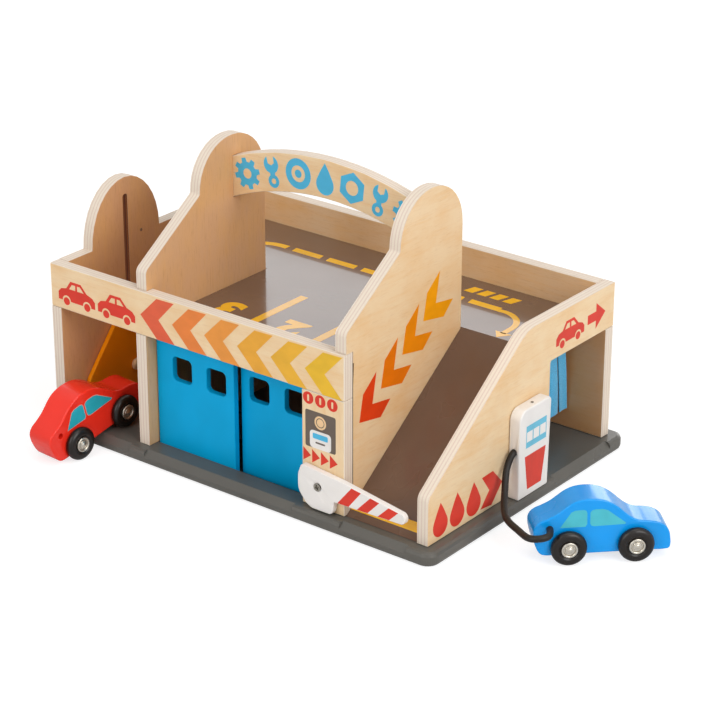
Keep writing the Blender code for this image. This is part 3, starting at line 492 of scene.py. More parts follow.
def wall_plane(origin, right, up):
    """A plane from its origin, and the directions of its u and v; it faces u cross v."""
    right, up = Vector(right).normalized(), Vector(up).normalized()
    out = right.cross(up)
    made = Matrix((right, up, out)).transposed().to_4x4()
    return Matrix.Translation(origin) @ made


def facing_front(x, y, z):
    """A plane that faces the front, from a place in the station's millimetres."""
    return wall_plane(at(x, y, z), RIGHT, UP)


def facing_right(x, y, z):
    """A plane that faces right, from a place in the station's millimetres."""
    return wall_plane(at(x, y, z), BACK, UP)


def facing_up(x, y, z):
    """A plane that faces up, from a place in the station's millimetres."""
    return wall_plane(at(x, y, z), RIGHT, BACK)


def printed(name, loops, plane, material, body="station", slot="birch_ply", thick=None):
    """A print: flat outlines in millimetres, filled, given the ink's thickness and placed."""
    curve = bpy.data.curves.new(name, "CURVE")
    curve.dimensions = "2D"
    curve.fill_mode = "BOTH"
    half = (thick or sizes().ink_thickness) / 2
    curve.extrude = half
    for loop in loops:
        spline = curve.splines.new("POLY")
        spline.points.add(len(loop) - 1)
        for (u, v), point in zip(loop, spline.points):
            point.co = (u * MM, v * MM, 0, 1)
        spline.use_cyclic_u = True
    return settle_print(linked(name, curve), name, plane, material, body, half)


def printed_row(name, shapes, plane, material, **where):
    """Prints of one kind on one plane, numbered from 1."""
    for number, loops in enumerate(shapes, 1):
        printed(f"{name}_{number}", loops, plane, material, **where)


def settle_print(item, name, plane, material, body, half):
    """Turn a flat curve or text into a mesh on its plane."""
    select_only(item)
    bpy.ops.object.convert(target="MESH")
    item = bpy.context.object
    weld(PRINT_WELD)
    item.matrix_world = plane @ Matrix.Translation((0, 0, half))
    return keep(item, name, body, material)


def ring(radius, count, centre=(0, 0), start=0.0, turn=360.0):
    """Points on a circle or, with both ends, an arc."""
    steps = count if turn == 360 else count - 1
    angles = [math.radians(start + turn * k / steps) for k in range(count)]
    return [(centre[0] + radius * math.cos(a), centre[1] + radius * math.sin(a))
            for a in angles]


def block(low_u, low_v, high_u, high_v, lean=0.0):
    """A rectangle, whose upper side may lean along u."""
    return [(low_u, low_v), (high_u, low_v), (high_u + lean, high_v), (low_u + lean, high_v)]


def round_box(low_u, low_v, high_u, high_v, radius):
    """A rectangle with round corners."""
    points = []
    for u, v, start in ((high_u - radius, high_v - radius, 0),
                        (low_u + radius, high_v - radius, 90),
                        (low_u + radius, low_v + radius, 180),
                        (high_u - radius, low_v + radius, 270)):
        points += ring(radius, ROUND_POINTS, (u, v), start, 90)
    return points


def band(centre_line, width):
    """A stripe of one width along an open line of points."""
    left, right = [], []
    for k, point in enumerate(centre_line):
        before = Vector(centre_line[max(0, k - 1)])
        after = Vector(centre_line[min(len(centre_line) - 1, k + 1)])
        side = (after - before).normalized().orthogonal() * width / 2
        left.append((point[0] + side.x, point[1] + side.y))
        right.append((point[0] - side.x, point[1] - side.y))
    return left + right[::-1]


def moved(loops, du, dv, size=1.0):
    """Outlines sized and moved."""
    return [[(u * size + du, v * size + dv) for u, v in loop] for loop in loops]


def gear_icon():
    """A gear with eight teeth and a round middle, 20 across."""
    outer = []
    for k in range(8):
        middle = 45 * k
        for angle, radius in ((-15, 7.4), (-9, 10.0), (9, 10.0), (15, 7.4)):
            a = math.radians(middle + angle)
            outer.append((radius * math.cos(a), radius * math.sin(a)))
    return [outer, ring(3.2, 16)]


def spanner_icon():
    """An upright open spanner, 20 high."""
    right_jaw = ring(5.6, 12, (0, 4.6), -70, 132)
    left_jaw = ring(5.6, 12, (0, 4.6), 118, 132)
    mouth = [(2.4, 5.4), (0, 4.0), (-2.4, 5.4)]
    eye = ring(4.2, 14, (0, -5.8), 117, 306)
    return [right_jaw + mouth + left_jaw + eye, ring(1.8, 10, (0, -5.8))]


def drop_icon():
    """A fuel drop, 20 high."""
    tip = [(-3.0, 5.2), (0, 10.0), (3.0, 5.2)]
    return [ring(6.6, 17, (0, -3.4), 25, -230) + tip]


def tyre_icon():
    """A tyre with its hub."""
    return [ring(9.6, 28), ring(5.2, 20), ring(2.6, 14)]


def nut_icon():
    """A hexagon nut."""
    return [ring(10.0, 6, start=30), ring(4.6, 18)]


def car_icon(width):
    """A plain car seen from its side, with wheels and windows, on a base line at 0."""
    body = [(-0.50, 0.06), (-0.50, 0.22), (-0.42, 0.30), (-0.28, 0.33), (-0.16, 0.50),
            (0.12, 0.50), (0.28, 0.33), (0.43, 0.28), (0.50, 0.20), (0.50, 0.06),
            (0.41, 0.06)]
    body += ring(0.115, 9, (0.28, 0.06), 0, 180) + [(0.0, 0.06)]
    body += ring(0.115, 9, (-0.28, 0.06), 0, 180) + [(-0.41, 0.06)]
    glass = [[(-0.20, 0.33), (-0.12, 0.44), (-0.03, 0.44), (-0.03, 0.33)],
             [(0.02, 0.33), (0.02, 0.44), (0.10, 0.44), (0.20, 0.33)]]
    wheels = [ring(0.085, 14, (side * 0.28, 0.05)) for side in (-1, 1)]
    return moved([body] + glass + wheels, 0, 0, width)


class StationOperator:
    """What the station's operators share."""

    bl_options = {"REGISTER", "UNDO"}


class STATION_OT_stage(StationOperator, bpy.types.Operator):
    """Set the camera, the pale floor, the lamps and the white background"""

    bl_idname = "station.stage"
    bl_label = "Stage"

    AZIMUTH, ELEVATION = math.radians(38.148), math.radians(23.791)
    EYE = (1.1038, -1.3790, 0.8544)
    FOCAL_PIXELS, FRAME_PIXELS, SENSOR = 2469.0, 702.0, 36.0
    CENTRE = (350.92, 348.22)
    # Name, place, watts and width
    LAMPS = (("side_lamp", (2.3, -0.5, 1.5), 39.5, 1.6), ("front_lamp", (-0.4, -2.5, 1.5), 30, 1.8),
             ("top_lamp", (0.5, 0.1, 2.5), 17, 1.8), ("rear_lamp", (-1.35, 1.75, 1.05), 11, 2.0),
             ("sheen_lamp", (-0.48, 2.15, 0.62), 6.0, 0.85))
    AIM = Vector((0, 0, 0.08))
    FLOOR_WIDTH, FLOOR_DROP = 12, 0.05 * MM
    # Greys of the paper lit and in shadow, its glow near and far, and the soft light all round
    PAPER, SHADE, SOFT_LIGHT = [0.86] * 3, [0.42] * 3, 0.30
    GLOW = (0.6, 2.2, 0.72, 1.0)

    def execute(self, context):
        data = bpy.data.cameras.new("camera")
        data.sensor_width = self.SENSOR
        data.lens = self.FOCAL_PIXELS * self.SENSOR / self.FRAME_PIXELS
        half = self.FRAME_PIXELS / 2
        data.shift_x = (half - self.CENTRE[0]) / self.FRAME_PIXELS
        data.shift_y = (self.CENTRE[1] - half) / self.FRAME_PIXELS
        camera = linked("camera", data)
        camera.location = self.EYE
        camera.rotation_euler = (math.pi / 2 - self.ELEVATION, 0, self.AZIMUTH)
        context.scene.camera = camera
        self.add_floor()
        self.add_lamps()
        self.add_world(context)
        context.scene.view_settings.view_transform = "Standard"
        return {"FINISHED"}

    def add_floor(self):
        """A wide pale floor that looks white and keeps the object's shadow."""
        clear_selection()
        bpy.ops.mesh.primitive_plane_add(size=self.FLOOR_WIDTH, location=(0, 0, -self.FLOOR_DROP))
        floor = bpy.context.object
        floor.name = "floor"
        made, tree, place = new_material("white_paper", 0.9, base_color=rgba(self.PAPER),
                                         specular_ior_level=0.1)
        path = add_node(tree, "LightPath")
        dim = add_node(tree, "BsdfDiffuse", {"Color": rgba(self.SHADE)})
        far = add_node(tree, "VectorMath", {0: place}, operation="LENGTH").outputs["Value"]
        glow = add_node(tree, "Emission", {"Strength": mapped(tree, far, *self.GLOW)})
        seen = add_node(tree, "AddShader", {0: dim.outputs[0], 1: glow.outputs[0]})
        mix = add_node(tree, "MixShader", {0: path.outputs["Is Camera Ray"],
                                           1: tree.nodes["Principled BSDF"].outputs[0],
                                           2: seen.outputs[0]})
        tree.links.new(mix.outputs[0], tree.nodes["Material Output"].inputs["Surface"])
        floor.data.materials.append(made)
        clear_selection()

    def add_lamps(self):
        """Soft studio lamps: side, front, top, and two behind that glossy paint reflects."""
        for name, place, power, width in self.LAMPS:
            data = bpy.data.lights.new(name, "AREA")
            data.energy = power
            data.size = width
            lamp = linked(name, data)
            lamp.location = place
            lamp.visible_camera = False
            lamp.visible_diffuse = name != "sheen_lamp"
            aim = self.AIM - lamp.location
            lamp.rotation_euler = aim.to_track_quat("-Z", "Y").to_euler()

    def add_world(self, context):
        """Soft light all round, which the camera and reflections see as white."""
        world = bpy.data.worlds.new("studio")
        context.scene.world = world
        world.use_nodes = True
        tree = world.node_tree
        path = add_node(tree, "LightPath").outputs
        seen = calc(tree, "MAXIMUM", path["Is Camera Ray"], path["Is Glossy Ray"])
        seen = calc(tree, "MAXIMUM", seen, path["Is Transmission Ray"])
        background = tree.nodes["Background"].inputs
        tree.links.new(mapped(tree, seen, 0, 1, self.SOFT_LIGHT), background["Strength"])
        background["Color"].default_value = (1, 1, 1, 1)


def smooth_route(knots, count):
    """Points spaced evenly along a Catmull-Rom curve through the knots."""
    ends = [2 * knots[0] - knots[1]] + knots + [2 * knots[-1] - knots[-2]]
    fine = []
    for a, b, c, d in zip(ends, ends[1:], ends[2:], ends[3:]):
        for k in range(ROUTE_STEPS):
            t = k / ROUTE_STEPS
            fine.append(0.5 * (2 * b + (c - a) * t + (2 * a - 5 * b + 4 * c - d) * t * t
                               + (3 * b - a - 3 * c + d) * t ** 3))
    fine.append(knots[-1])
    total = [0.0]
    for a, b in zip(fine, fine[1:]):
        total.append(total[-1] + (b - a).length)
    points = []
    for k in range(count):
        goal = total[-1] * k / (count - 1)
        index = max(i for i in range(len(fine)) if total[i] <= goal + 1e-12)
        index = min(index, len(fine) - 2)
        share = (goal - total[index]) / (total[index + 1] - total[index])
        points.append(fine[index].lerp(fine[index + 1], share))
    return points, total[-1]


class STATION_OT_hose(StationOperator, bpy.types.Operator):
    """Make the black hose from the pump's hole, in a low bow, into the blue car"""

    bl_idname = "station.hose"
    bl_label = "Fuel hose"

    ROUTE = ((0.1893, -0.0153, 0.0496), (0.1893, -0.0222, 0.0496), (0.1898, -0.0300, 0.0400),
             (0.1961, -0.0409, 0.0280), (0.2058, -0.0552, 0.0229), (0.2175, -0.0675, 0.0226),
             (0.2335, -0.0775, 0.0239), (0.2463, -0.0859, 0.0262), (0.2527, -0.0872, 0.0274),
             (0.2580, -0.0841, 0.0281), (0.2601, -0.0783, 0.0284))
    SEAT = 4.7 * MM
    POINTS = 90

    def execute(self, context):
        width = sizes().hose_diameter
        rear, heading = CARS["blue_car"]
        turn = Matrix.Rotation(math.radians(heading), 3, "Z")
        inward = turn @ Vector(BACK)
        filler = turn @ Vector((FILLER[0], -CAR_HALF, FILLER[1])) + Vector((*rear, 0))
        knots = [Vector(p) for p in self.ROUTE]
        knots += [filler - inward * width / 2, filler + inward * self.SEAT]
        points, run = smooth_route(knots, self.POINTS)
        curve = bpy.data.curves.new("fuel_hose_rubber", "CURVE")
        curve.dimensions = "3D"
        curve.bevel_depth = width / 2
        curve.bevel_resolution = 6
        curve.use_fill_caps = True
        spline = curve.splines.new("POLY")
        spline.points.add(len(points) - 1)
        for spot, point in zip(points, spline.points):
            point.co = (*spot, 1)
        spline.use_smooth = True
        item = linked("fuel_hose_rubber", curve)
        curve.materials.append(rubber_material("extruded_rubber_hose", colours().hose))
        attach(item, "station")
        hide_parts("fuel_hose")
        return {"FINISHED"}


class STATION_OT_curtain(StationOperator, bpy.types.Operator):
    """Make the six felt strips that hang in the exit lane"""

    bl_idname = "station.curtain"
    bl_label = "Felt curtain"

    CURL, DRIFT, ROLL = 0.6 * MM, 7.0 * MM, 0.2 * MM
    # How far each strip's lower end drifts towards the rear, in millimetres
    SWAY = (4.8, 5.1, 5.4, 5.7, 6.0, 8.0)

    def execute(self, context):
        felt = felt_material("pressed_wool_felt", colours().felt)
        for k, drift in enumerate(self.SWAY, 1):
            self.add_strip(k, drift * MM, felt)
        return {"FINISHED"}

    def add_strip(self, k, drift, felt):
        """One strip: a plane cut into a fine grid, curled a little and given thickness."""
        node = f"felt_strip_{k}"
        low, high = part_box(node)
        wide = high.y - low.y - self.DRIFT
        tall = high.z - low.z
        middle = (low + high) / 2
        clear_selection()
        bpy.ops.mesh.primitive_grid_add(x_subdivisions=6, y_subdivisions=28, size=1)
        item = bpy.context.object
        turn = 1 if k % 2 else -1
        for vertex in item.data.vertices:
            u, v = vertex.co.x, vertex.co.y
            fall = 0.5 - v
            curl = turn * self.CURL * (math.sin(math.pi * (u + 0.5)) - 0.5) * fall
            wave = self.CURL * math.sin(5.0 * fall + k) * fall
            vertex.co = (middle.x + curl + wave, low.y + (u + 0.5) * wide + fall * drift,
                         middle.z + v * tall)
        modify(item, "SOLIDIFY", thickness=sizes().felt_thickness, offset=0)
        roll_edges(item, self.ROLL, 2)
        bpy.ops.object.shade_smooth()
        piece = keep(item, node + "_cloth", f"curtain_{k}", felt)
        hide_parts(node)


class STATION_OT_finishes(StationOperator, bpy.types.Operator):
    """Give the wooden and painted nodes their finishes"""

    bl_idname = "station.finishes"
    bl_label = "Finishes"

    # Node, the axis across its layers, its grain's axis, the pattern's shift and its warmth, which
    # is painted shade: a darker, redder veneer on panels that stand in shade
    PANELS = (("left_side_panel", "X", "Z", 0.0, 0.60), ("left_tower_panel", "X", "Z", 1.7, 0.52),
              ("right_tower_panel", "X", "Y", 2.9, 0.06), ("right_side_panel", "X", "Y", 5.3, 0.0),
              ("rear_panel", "Y", "X", 8.1, 0.22), ("front_beam", "Y", "X", 9.4, 0.0),
              ("pay_post", "Y", "Z", 11.2, 0.0), ("sign_arch", "Y", "X", 12.6, 0.0))
    STRAIGHT = ("rear_panel", "front_beam", "pay_post")
    # The share of painted shade, a redder veneer, on the rear panel's face in the lanes below the
    # deck
    LANE_SHADE = 0.5
    SLOT_REACH, SLOT_BELOW_TOP = 4 * MM, 8 * MM

    def execute(self, context):
        tones = colours()
        for node, *pattern in self.PANELS:
            lane = self.LANE_SHADE if node == "rear_panel" else 0.0
            ply = ply_material(node + "_birch_plywood", node, *pattern, lane=lane)
            if node in self.STRAIGHT:
                self.dress(ply, node)
                continue
            panel = smooth_copy(node, "station", ply)
            if node == "left_side_panel":
                self.shade_slot(panel, ply_material("worn_birch_slot", node, *pattern, worn=True))
        rod = turned_birch("turned_birch")
        self.dress(rod, "curtain_batten")
        for node in ("lift_guide_peg", "lift_knob"):
            smooth_copy(node, "lift", rod)
        self.dress(sprayed_paint("satin_base_paint", tones.base, 0.32), "base_plate",
                   "lift_platform")
        self.dress(sprayed_paint("gloss_deck_paint", tones.deck, 0.20, "X", 0.2, 0.78), "deck")
        self.dress(sprayed_paint("satin_ramp_paint", tones.deck, 0.28, "Y", 0.2, 0.2), "ramp")
        self.dress(sprayed_paint("door_enamel", tones.door, 0.38, "Z", 0.1, 0.0, 0.1),
                   "left_door", "right_door")
        for node, body, slot, paint in (
                ("lift_guard", "lift", "lift_orange",
                 sprayed_paint("lift_enamel", tones.guard, 0.35, "Z", 0.15, 0.0, 0.15)),
                ("barrier_arm", "barrier", "barrier_white",
                 sprayed_paint("barrier_enamel", tones.white, 0.35, "X", 0.06)),
                ("gas_pump", "station", "pump_white",
                 sprayed_paint("pump_enamel", tones.white, 0.33, "Z", 0.06))):
            smooth_copy(node, body, paint)
        return {"FINISHED"}

    def shade_slot(self, panel, material):
        """Give the walls of the lift's slot a darker finish, painted shade for the slot's inside.
        """
        panel.data.materials.append(material)
        peg_low, peg_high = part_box("lift_guide_peg")
        middle = (peg_low.y + peg_high.y) / 2
        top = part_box("left_side_panel")[1].z - self.SLOT_BELOW_TOP
        for face in panel.data.polygons:
            inside = abs(face.center.y - middle) < self.SLOT_REACH and face.center.z < top
            if inside and abs(face.normal.x) < 0.5:
                face.material_index = 1

    def dress(self, material, *nodes):
        """Put a material on CAD nodes."""
        for node in nodes:
            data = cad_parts[node].data
            data.materials.clear()
            data.materials.append(material)


class STATION_OT_front_prints(StationOperator, bpy.types.Operator):
    """Print the chevrons on the beam and the red cars beside them"""

    bl_idname = "station.front_prints"
    bl_label = "Beam prints"

    SHAPE = ((0, 0), (17.0, 17.0), (34.6, 17.4), (18.4, 0), (34.3, -16.4), (16.6, -16.6))
    TONES = ("E1603E", "E9833C", "E8953F", "E9A637", "EAB035", "EAB92E")
    FIRST, PITCH, APEX_HEIGHT = 94.6, 32.2, 120.8
    CAR_PLACES, CAR_HEIGHT, CAR_WIDTH = (27.5, 69.5), 109.5, 39

    def execute(self, context):
        for k, tone in enumerate(self.TONES):
            ink = screen_ink(f"beam_ink_{k + 1}", linear(tone))
            plane = facing_front(self.FIRST + k * self.PITCH, 0, self.APEX_HEIGHT)
            printed(f"beam_chevron_{k + 1}", [self.SHAPE], plane, ink)
        red = screen_ink("beam_red_ink", colours().red)
        for k, x in enumerate(self.CAR_PLACES, 1):
            printed(f"beam_car_{k}", car_icon(self.CAR_WIDTH),
                    facing_front(x, 0, self.CAR_HEIGHT), red)
        return {"FINISHED"}


class STATION_OT_tower_prints(StationOperator, bpy.types.Operator):
    """Print the chevrons that climb the right tower, and painted shade in the hair-wide open joint
    below
    """

    bl_idname = "station.tower_prints"
    bl_label = "Tower prints"

    SHAPE = ((20.1, 34.0), (4.3, 21.1), (0, 0), (25.5, -4.7), (37.1, 6.3), (15.5, 9.6))
    TONES = ("F5A000", "EE8A00", "E87500", "E04010")
    TOP, STEP = (94.5, 135.4), (-25.6, -18.2)
    # Painted shade of the post's open joint, which opens a little wider at the beam's top
    JOINT = ((9.9, 21.0), (10.3, 21.0), (10.3, 112.0), (11.2, 131.0), (9.9, 131.0))

    def execute(self, context):
        x = right_face("right_tower_panel")
        for k, tone in enumerate(self.TONES):
            ink = screen_ink(f"tower_ink_{k + 1}", linear(tone), "Y")
            plane = facing_right(x, self.TOP[0] + k * self.STEP[0], self.TOP[1] + k * self.STEP[1])
            printed(f"tower_chevron_{k + 1}", [self.SHAPE], plane, ink)
        shade = screen_ink("open_joint_brown", linear("5A4028"), "Z")
        printed("post_joint", [self.JOINT], facing_right(x, 0, 0), shade)
        return {"FINISHED"}


class STATION_OT_sign(StationOperator, bpy.types.Operator):
    """Print the workshop symbols along the curved sign"""

    bl_idname = "station.sign"
    bl_label = "Sign symbols"

    SYMBOLS = (gear_icon, spanner_icon, tyre_icon, drop_icon, nut_icon, spanner_icon, gear_icon)
    HIGHEST, RADIUS, BAND = 236.8, 228.6, 31.0
    PITCH, SYMBOL_SIZE = 6.1, 1.28

    def execute(self, context):
        ink = screen_ink("sign_sky_ink", colours().sky)
        low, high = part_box("sign_arch")
        front = (low.y - FRONT_FACE) / MM
        middle_x = ((low.x + high.x) / 2 - LEFT_FACE) / MM
        centre_z = self.HIGHEST - self.BAND - self.RADIUS
        radius = self.RADIUS + self.BAND / 2
        for k, symbol in enumerate(self.SYMBOLS):
            turn = math.radians(self.PITCH * (len(self.SYMBOLS) // 2 - k))
            spot = at(middle_x - radius * math.sin(turn), front,
                      centre_z + radius * math.cos(turn))
            plane = wall_plane(spot, (math.cos(turn), 0, math.sin(turn)),
                               (-math.sin(turn), 0, math.cos(turn)))
            printed(f"sign_symbol_{k + 1}", moved(symbol(), 0, 0, self.SYMBOL_SIZE), plane, ink)
        return {"FINISHED"}


class STATION_OT_pay_panel(StationOperator, bpy.types.Operator):
    """Print the ticket machine on the pay post, with coins above and arrows below"""

    bl_idname = "station.pay_panel"
    bl_label = "Pay panel"

    CENTRE = (269.85, 74.5)
    # Low corner, high corner and corner radius, from the picture's centre
    PANEL, MACHINE = (-14.0, -15.3, 14.3, 14.3, 1.6), (-9.8, -15.3, 10.0, -1.0, 3.0)
    SCREEN, SLOT = (-7.0, -7.5, 7.0, -3.2, 0.8), (-4.5, -11.2, 4.5, -9.8, 0.6)
    GOLD_COIN, GOLD_HEIGHT = ((5.4, 28), (3.9, 24), (3.2, 24)), 6.2
    RED_COIN, COIN_PITCH, COIN_HEIGHT = 4.9, 11.2, 23.6
    COIN_BAR = (-0.9, -2.7, 0.9, 2.7, 0.8)
    ARROW, ARROW_PITCH, ARROW_HEIGHT = ((-3.7, 0), (-3.7, 5.5), (3.6, 0), (-3.7, -5.5)), 8.3, -22.4

    def execute(self, context):
        tones = colours()
        plane = facing_front(self.CENTRE[0], 0, self.CENTRE[1])
        proud = Matrix.Translation((0, 0, sizes().ink_thickness))
        over, top = plane @ proud, plane @ proud @ proud
        red, white, sky, gold, dark = (
            screen_ink(f"pay_{name}_ink", tone, "Z") for name, tone in (
                ("red", tones.red), ("white", tones.white), ("sky", tones.sky),
                ("gold", linear("EFC99A")), ("panel", tones.panel)))
        printed("ticket_panel", [round_box(*self.PANEL)], plane, dark)
        printed("ticket_machine", [round_box(*self.MACHINE)], over, white)
        printed("ticket_screen", [round_box(*self.SCREEN)], top, sky)
        printed("ticket_slot", [round_box(*self.SLOT)], top, dark)
        printed("ticket_coin", [ring(radius, count, (0, self.GOLD_HEIGHT))
                                for radius, count in self.GOLD_COIN], over, gold)
        coin = [ring(self.RED_COIN, 24), round_box(*self.COIN_BAR)]
        coins = [moved(coin, self.COIN_PITCH * k, self.COIN_HEIGHT) for k in (-1, 0, 1)]
        printed("coins_above", sum(coins, []), plane, red)
        arrows = [moved([self.ARROW], self.ARROW_PITCH * k, self.ARROW_HEIGHT)
                  for k in (-1.5, -0.5, 0.5, 1.5)]
        printed("arrows_below", sum(arrows, []), plane, red)
        return {"FINISHED"}


class STATION_OT_side_prints(StationOperator, bpy.types.Operator):
    """Print the red symbols on the right side panel"""

    bl_idname = "station.side_prints"
    bl_label = "Side prints"

    CHEVRON = ((65.9, 40.5), (79.8, 41.0), (92.0, 27.7), (79.0, 13.5), (64.9, 15.0),
               (75.6, 27.0))
    DROPS, DROP_HEIGHT, DROP_SIZE = (15.0, 35.5, 56.0), 27.6, 1.36
    CAR_PLACE, CAR_WIDTH = (177.5, 110.6), 38
    ARROW_PLACE = (201.0, 120.2)
    ARROW = ((0, -3.8), (11.5, -3.8), (11.5, -10.6), (24.5, 0), (11.5, 10.6), (11.5, 3.8),
             (0, 3.8))

    def execute(self, context):
        red = screen_ink("side_red_ink", colours().red, "Y", 4.0)
        plane = facing_right(right_face("right_side_panel"), 0, 0)
        printed("side_chevron", [self.CHEVRON], plane, red)
        printed_row("side_drop", [moved(drop_icon(), y, self.DROP_HEIGHT, self.DROP_SIZE)
                                  for y in self.DROPS], plane, red)
        printed("exit_car", moved(car_icon(self.CAR_WIDTH), *self.CAR_PLACE), plane, red)
        printed("exit_arrow", moved([self.ARROW], *self.ARROW_PLACE), plane, red)
        return {"FINISHED"}


class STATION_OT_deck_marks(StationOperator, bpy.types.Operator):
    """Print the yellow lines, arrows and bay numbers on the deck and the ramp"""

    bl_idname = "station.deck_marks"
    bl_label = "Deck marks"

    DASHES, FIRST_DASH, DASH, DASH_PITCH, STREET, LEAN = 6, 90.4, 28.6, 35.3, 188.6, 1.2
    # Centre lines of the dashes round the bend, and their width over a deck line's
    BEND = ((((59, 181.5), (64, 185.2), (71, 187.9), (78, 188.8), (84, 188.8)), 0.9),
            (((49.7, 136), (49.7, 146), (50.2, 157)), 1.0),
            (((51.0, 163), (53.6, 171), (57.2, 177)), 1.0))
    BAY_LINES, BAY_START, BAY_END = (161.4, 222.0), 30, 115.8
    HOOK_IN, HOOK_OUT, HOOK_WIDTH = [(296, 187)], [(324.0, 158), (324.0, 152)], 5.0
    HOOK_CENTRE, HOOK_RADIUS = (299.5, 163), 24.5
    TIP = ((324.0, 143.5), (331.5, 153.5), (316.5, 153.5))
    BARS, BAR, BAR_PITCH, BAR_LEAN = 4, (251, 203, 259.5, 214), 12.2, 3
    NUMBERS, NUMBER_ROW = (("3", 130.3), ("2", 192.0), ("1", 254.0)), 62.0
    # A text's size over its numerals' height, and how much wider they are drawn
    TEXT_SIZE, WIDEN = 1.42, 1.15
    RAMP_LINE = (6.5, 14.3)

    def execute(self, context):
        yellow = screen_ink("deck_yellow_ink", colours().yellow, "X", 1.0, 0.22, 0.6)
        deck_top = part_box("deck")[1].z / MM
        deck = {"plane": facing_up(0, 0, deck_top), "material": yellow, "slot": "deck_brown"}
        wide = sizes().deck_line / MM
        low, high = self.STREET - wide / 2, self.STREET + wide / 2
        first, *others = [band(line, wide * share) for line, share in self.BEND]
        starts = [self.FIRST_DASH + k * self.DASH_PITCH + self.LEAN for k in range(self.DASHES)]
        lines = [first] + [block(u, low, u + self.DASH, high, -self.LEAN) for u in starts]
        lines += others + [block(x - wide / 2, self.BAY_START, x + wide / 2, self.BAY_END)
                           for x in self.BAY_LINES]
        printed_row("deck_line", [[line] for line in lines], **deck)
        turn = ring(self.HOOK_RADIUS, 10, self.HOOK_CENTRE, 84, -84)
        hook = band(self.HOOK_IN + turn + self.HOOK_OUT, self.HOOK_WIDTH)
        printed("deck_arrow_line", [hook], **deck)
        printed("deck_arrow_tip", [self.TIP], **deck)
        bar = [block(*self.BAR, self.BAR_LEAN)]
        printed_row("deck_bar", [moved(bar, self.BAR_PITCH * k, 0) for k in range(self.BARS)],
                    **deck)
        for text, x in self.NUMBERS:
            self.add_numeral(text, x, deck_top, yellow)
        self.add_ramp_line(yellow)
        return {"FINISHED"}

    def add_numeral(self, text, x, deck_top, ink):
        """A bay's number, which reads from the rear."""
        clear_selection()
        bpy.ops.object.text_add()
        item = bpy.context.object
        half = sizes().ink_thickness / 2
        for key, value in {"body": text, "size": sizes().numeral_height * self.TEXT_SIZE,
                           "align_x": "CENTER", "align_y": "CENTER",
                           "offset": sizes().numeral_swell, "extrude": half}.items():
            setattr(item.data, key, value)
        plane = wall_plane(at(x, self.NUMBER_ROW, deck_top), (-1, 0, 0), (0, -1, 0))
        plane = plane @ Matrix.Diagonal((self.WIDEN, 1, 1, 1))
        settle_print(item, "deck_number_" + text, plane, ink, "station", half)

    def add_ramp_line(self, ink):
        """The stop line across the foot of the ramp."""
        low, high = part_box("ramp")
        slope = (0, high.y - low.y, high.z - low.z)
        start, end = self.RAMP_LINE
        printed("ramp_line", [block(0, start, (high.x - low.x) / MM, end)],
                wall_plane(low, RIGHT, slope), ink, slot="deck_brown")


class STATION_OT_barrier(StationOperator, bpy.types.Operator):
    """Print the barrier's red stripes and make the cross-slotted screw"""

    bl_idname = "station.barrier"
    bl_label = "Barrier"

    STRIPES = (((302.9, 40.2), (311.6, 38.9), (300.2, 24.4), (289.8, 24.1)),
               ((320.1, 37.6), (328.3, 36.3), (317.7, 24.9), (307.9, 24.6)),
               ((336.8, 35.0), (345.4, 33.7), (337.3, 25.5), (327.0, 25.2)))
    SCREW = (271.0, 31.1)
    SUNK = 0.4 * MM

    def execute(self, context):
        red = screen_ink("barrier_red_ink", colours().red, "X", 2.0, 0.3)
        face = (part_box("barrier_arm")[0].y - FRONT_FACE) / MM
        printed_row("barrier_stripe", [[stripe] for stripe in self.STRIPES],
                    facing_front(0, face, 0), red, body="barrier", slot="barrier_white")
        # The barrier screw's steel is drawn at about half the nickel's brightness
        steel = plated_steel("worn_screw_steel", scaled(colours().nickel, 0.55), 0.42)
        spot = facing_front(self.SCREW[0], face, self.SCREW[1])
        screw = cross_screw("barrier_cross_screw", spot @ Matrix.Translation((0, 0, -self.SUNK)),
                            sizes().screw_head, steel)
        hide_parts("barrier_screw")
        return {"FINISHED"}


class STATION_OT_pump(StationOperator, bpy.types.Operator):
    """Print the pump's display and its red field, and drive in the small screws"""

    bl_idname = "station.pump"
    bl_label = "Pump"

    DISPLAY = (107, 51.5, 133.4, 69.5)
    WINDOWS, WINDOW, WINDOW_PITCH = 3, (107.8, 56.2, 115.3, 64.4), 8.65
    FIELD = ((105.8, 45), (133.2, 45), (128.3, 17), (110, 17))
    TOP_SCREW, TOP_PROUD, PANEL_SCREW = (373.9, 119.9), 0.1, (10.1, 93.6, 141.4)

    def execute(self, context):
        plane = facing_right(right_face("gas_pump"), 0, 0)
        sky = screen_ink("pump_sky_ink", linear("6EC1DC"), "Z")
        red = screen_ink("pump_red_ink", colours().red, "Z")
        display = [block(*self.DISPLAY)]
        for k in range(self.WINDOWS):
            display += moved([block(*self.WINDOW)], self.WINDOW_PITCH * k, 0)
        printed("pump_display", display, plane, sky, slot="pump_white")
        printed("pump_field", [self.FIELD], plane, red, slot="pump_white")
        steel = plated_steel("nail_steel", scaled(colours().nickel, 0.4), 0.4)
        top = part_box("gas_pump")[1].z / MM + self.TOP_PROUD
        for name, place in (("pump_screw", facing_up(*self.TOP_SCREW, top)),
                            ("left_panel_screw", facing_right(*self.PANEL_SCREW))):
            cross_screw(name, place, sizes().nail_head, steel)
        return {"FINISHED"}


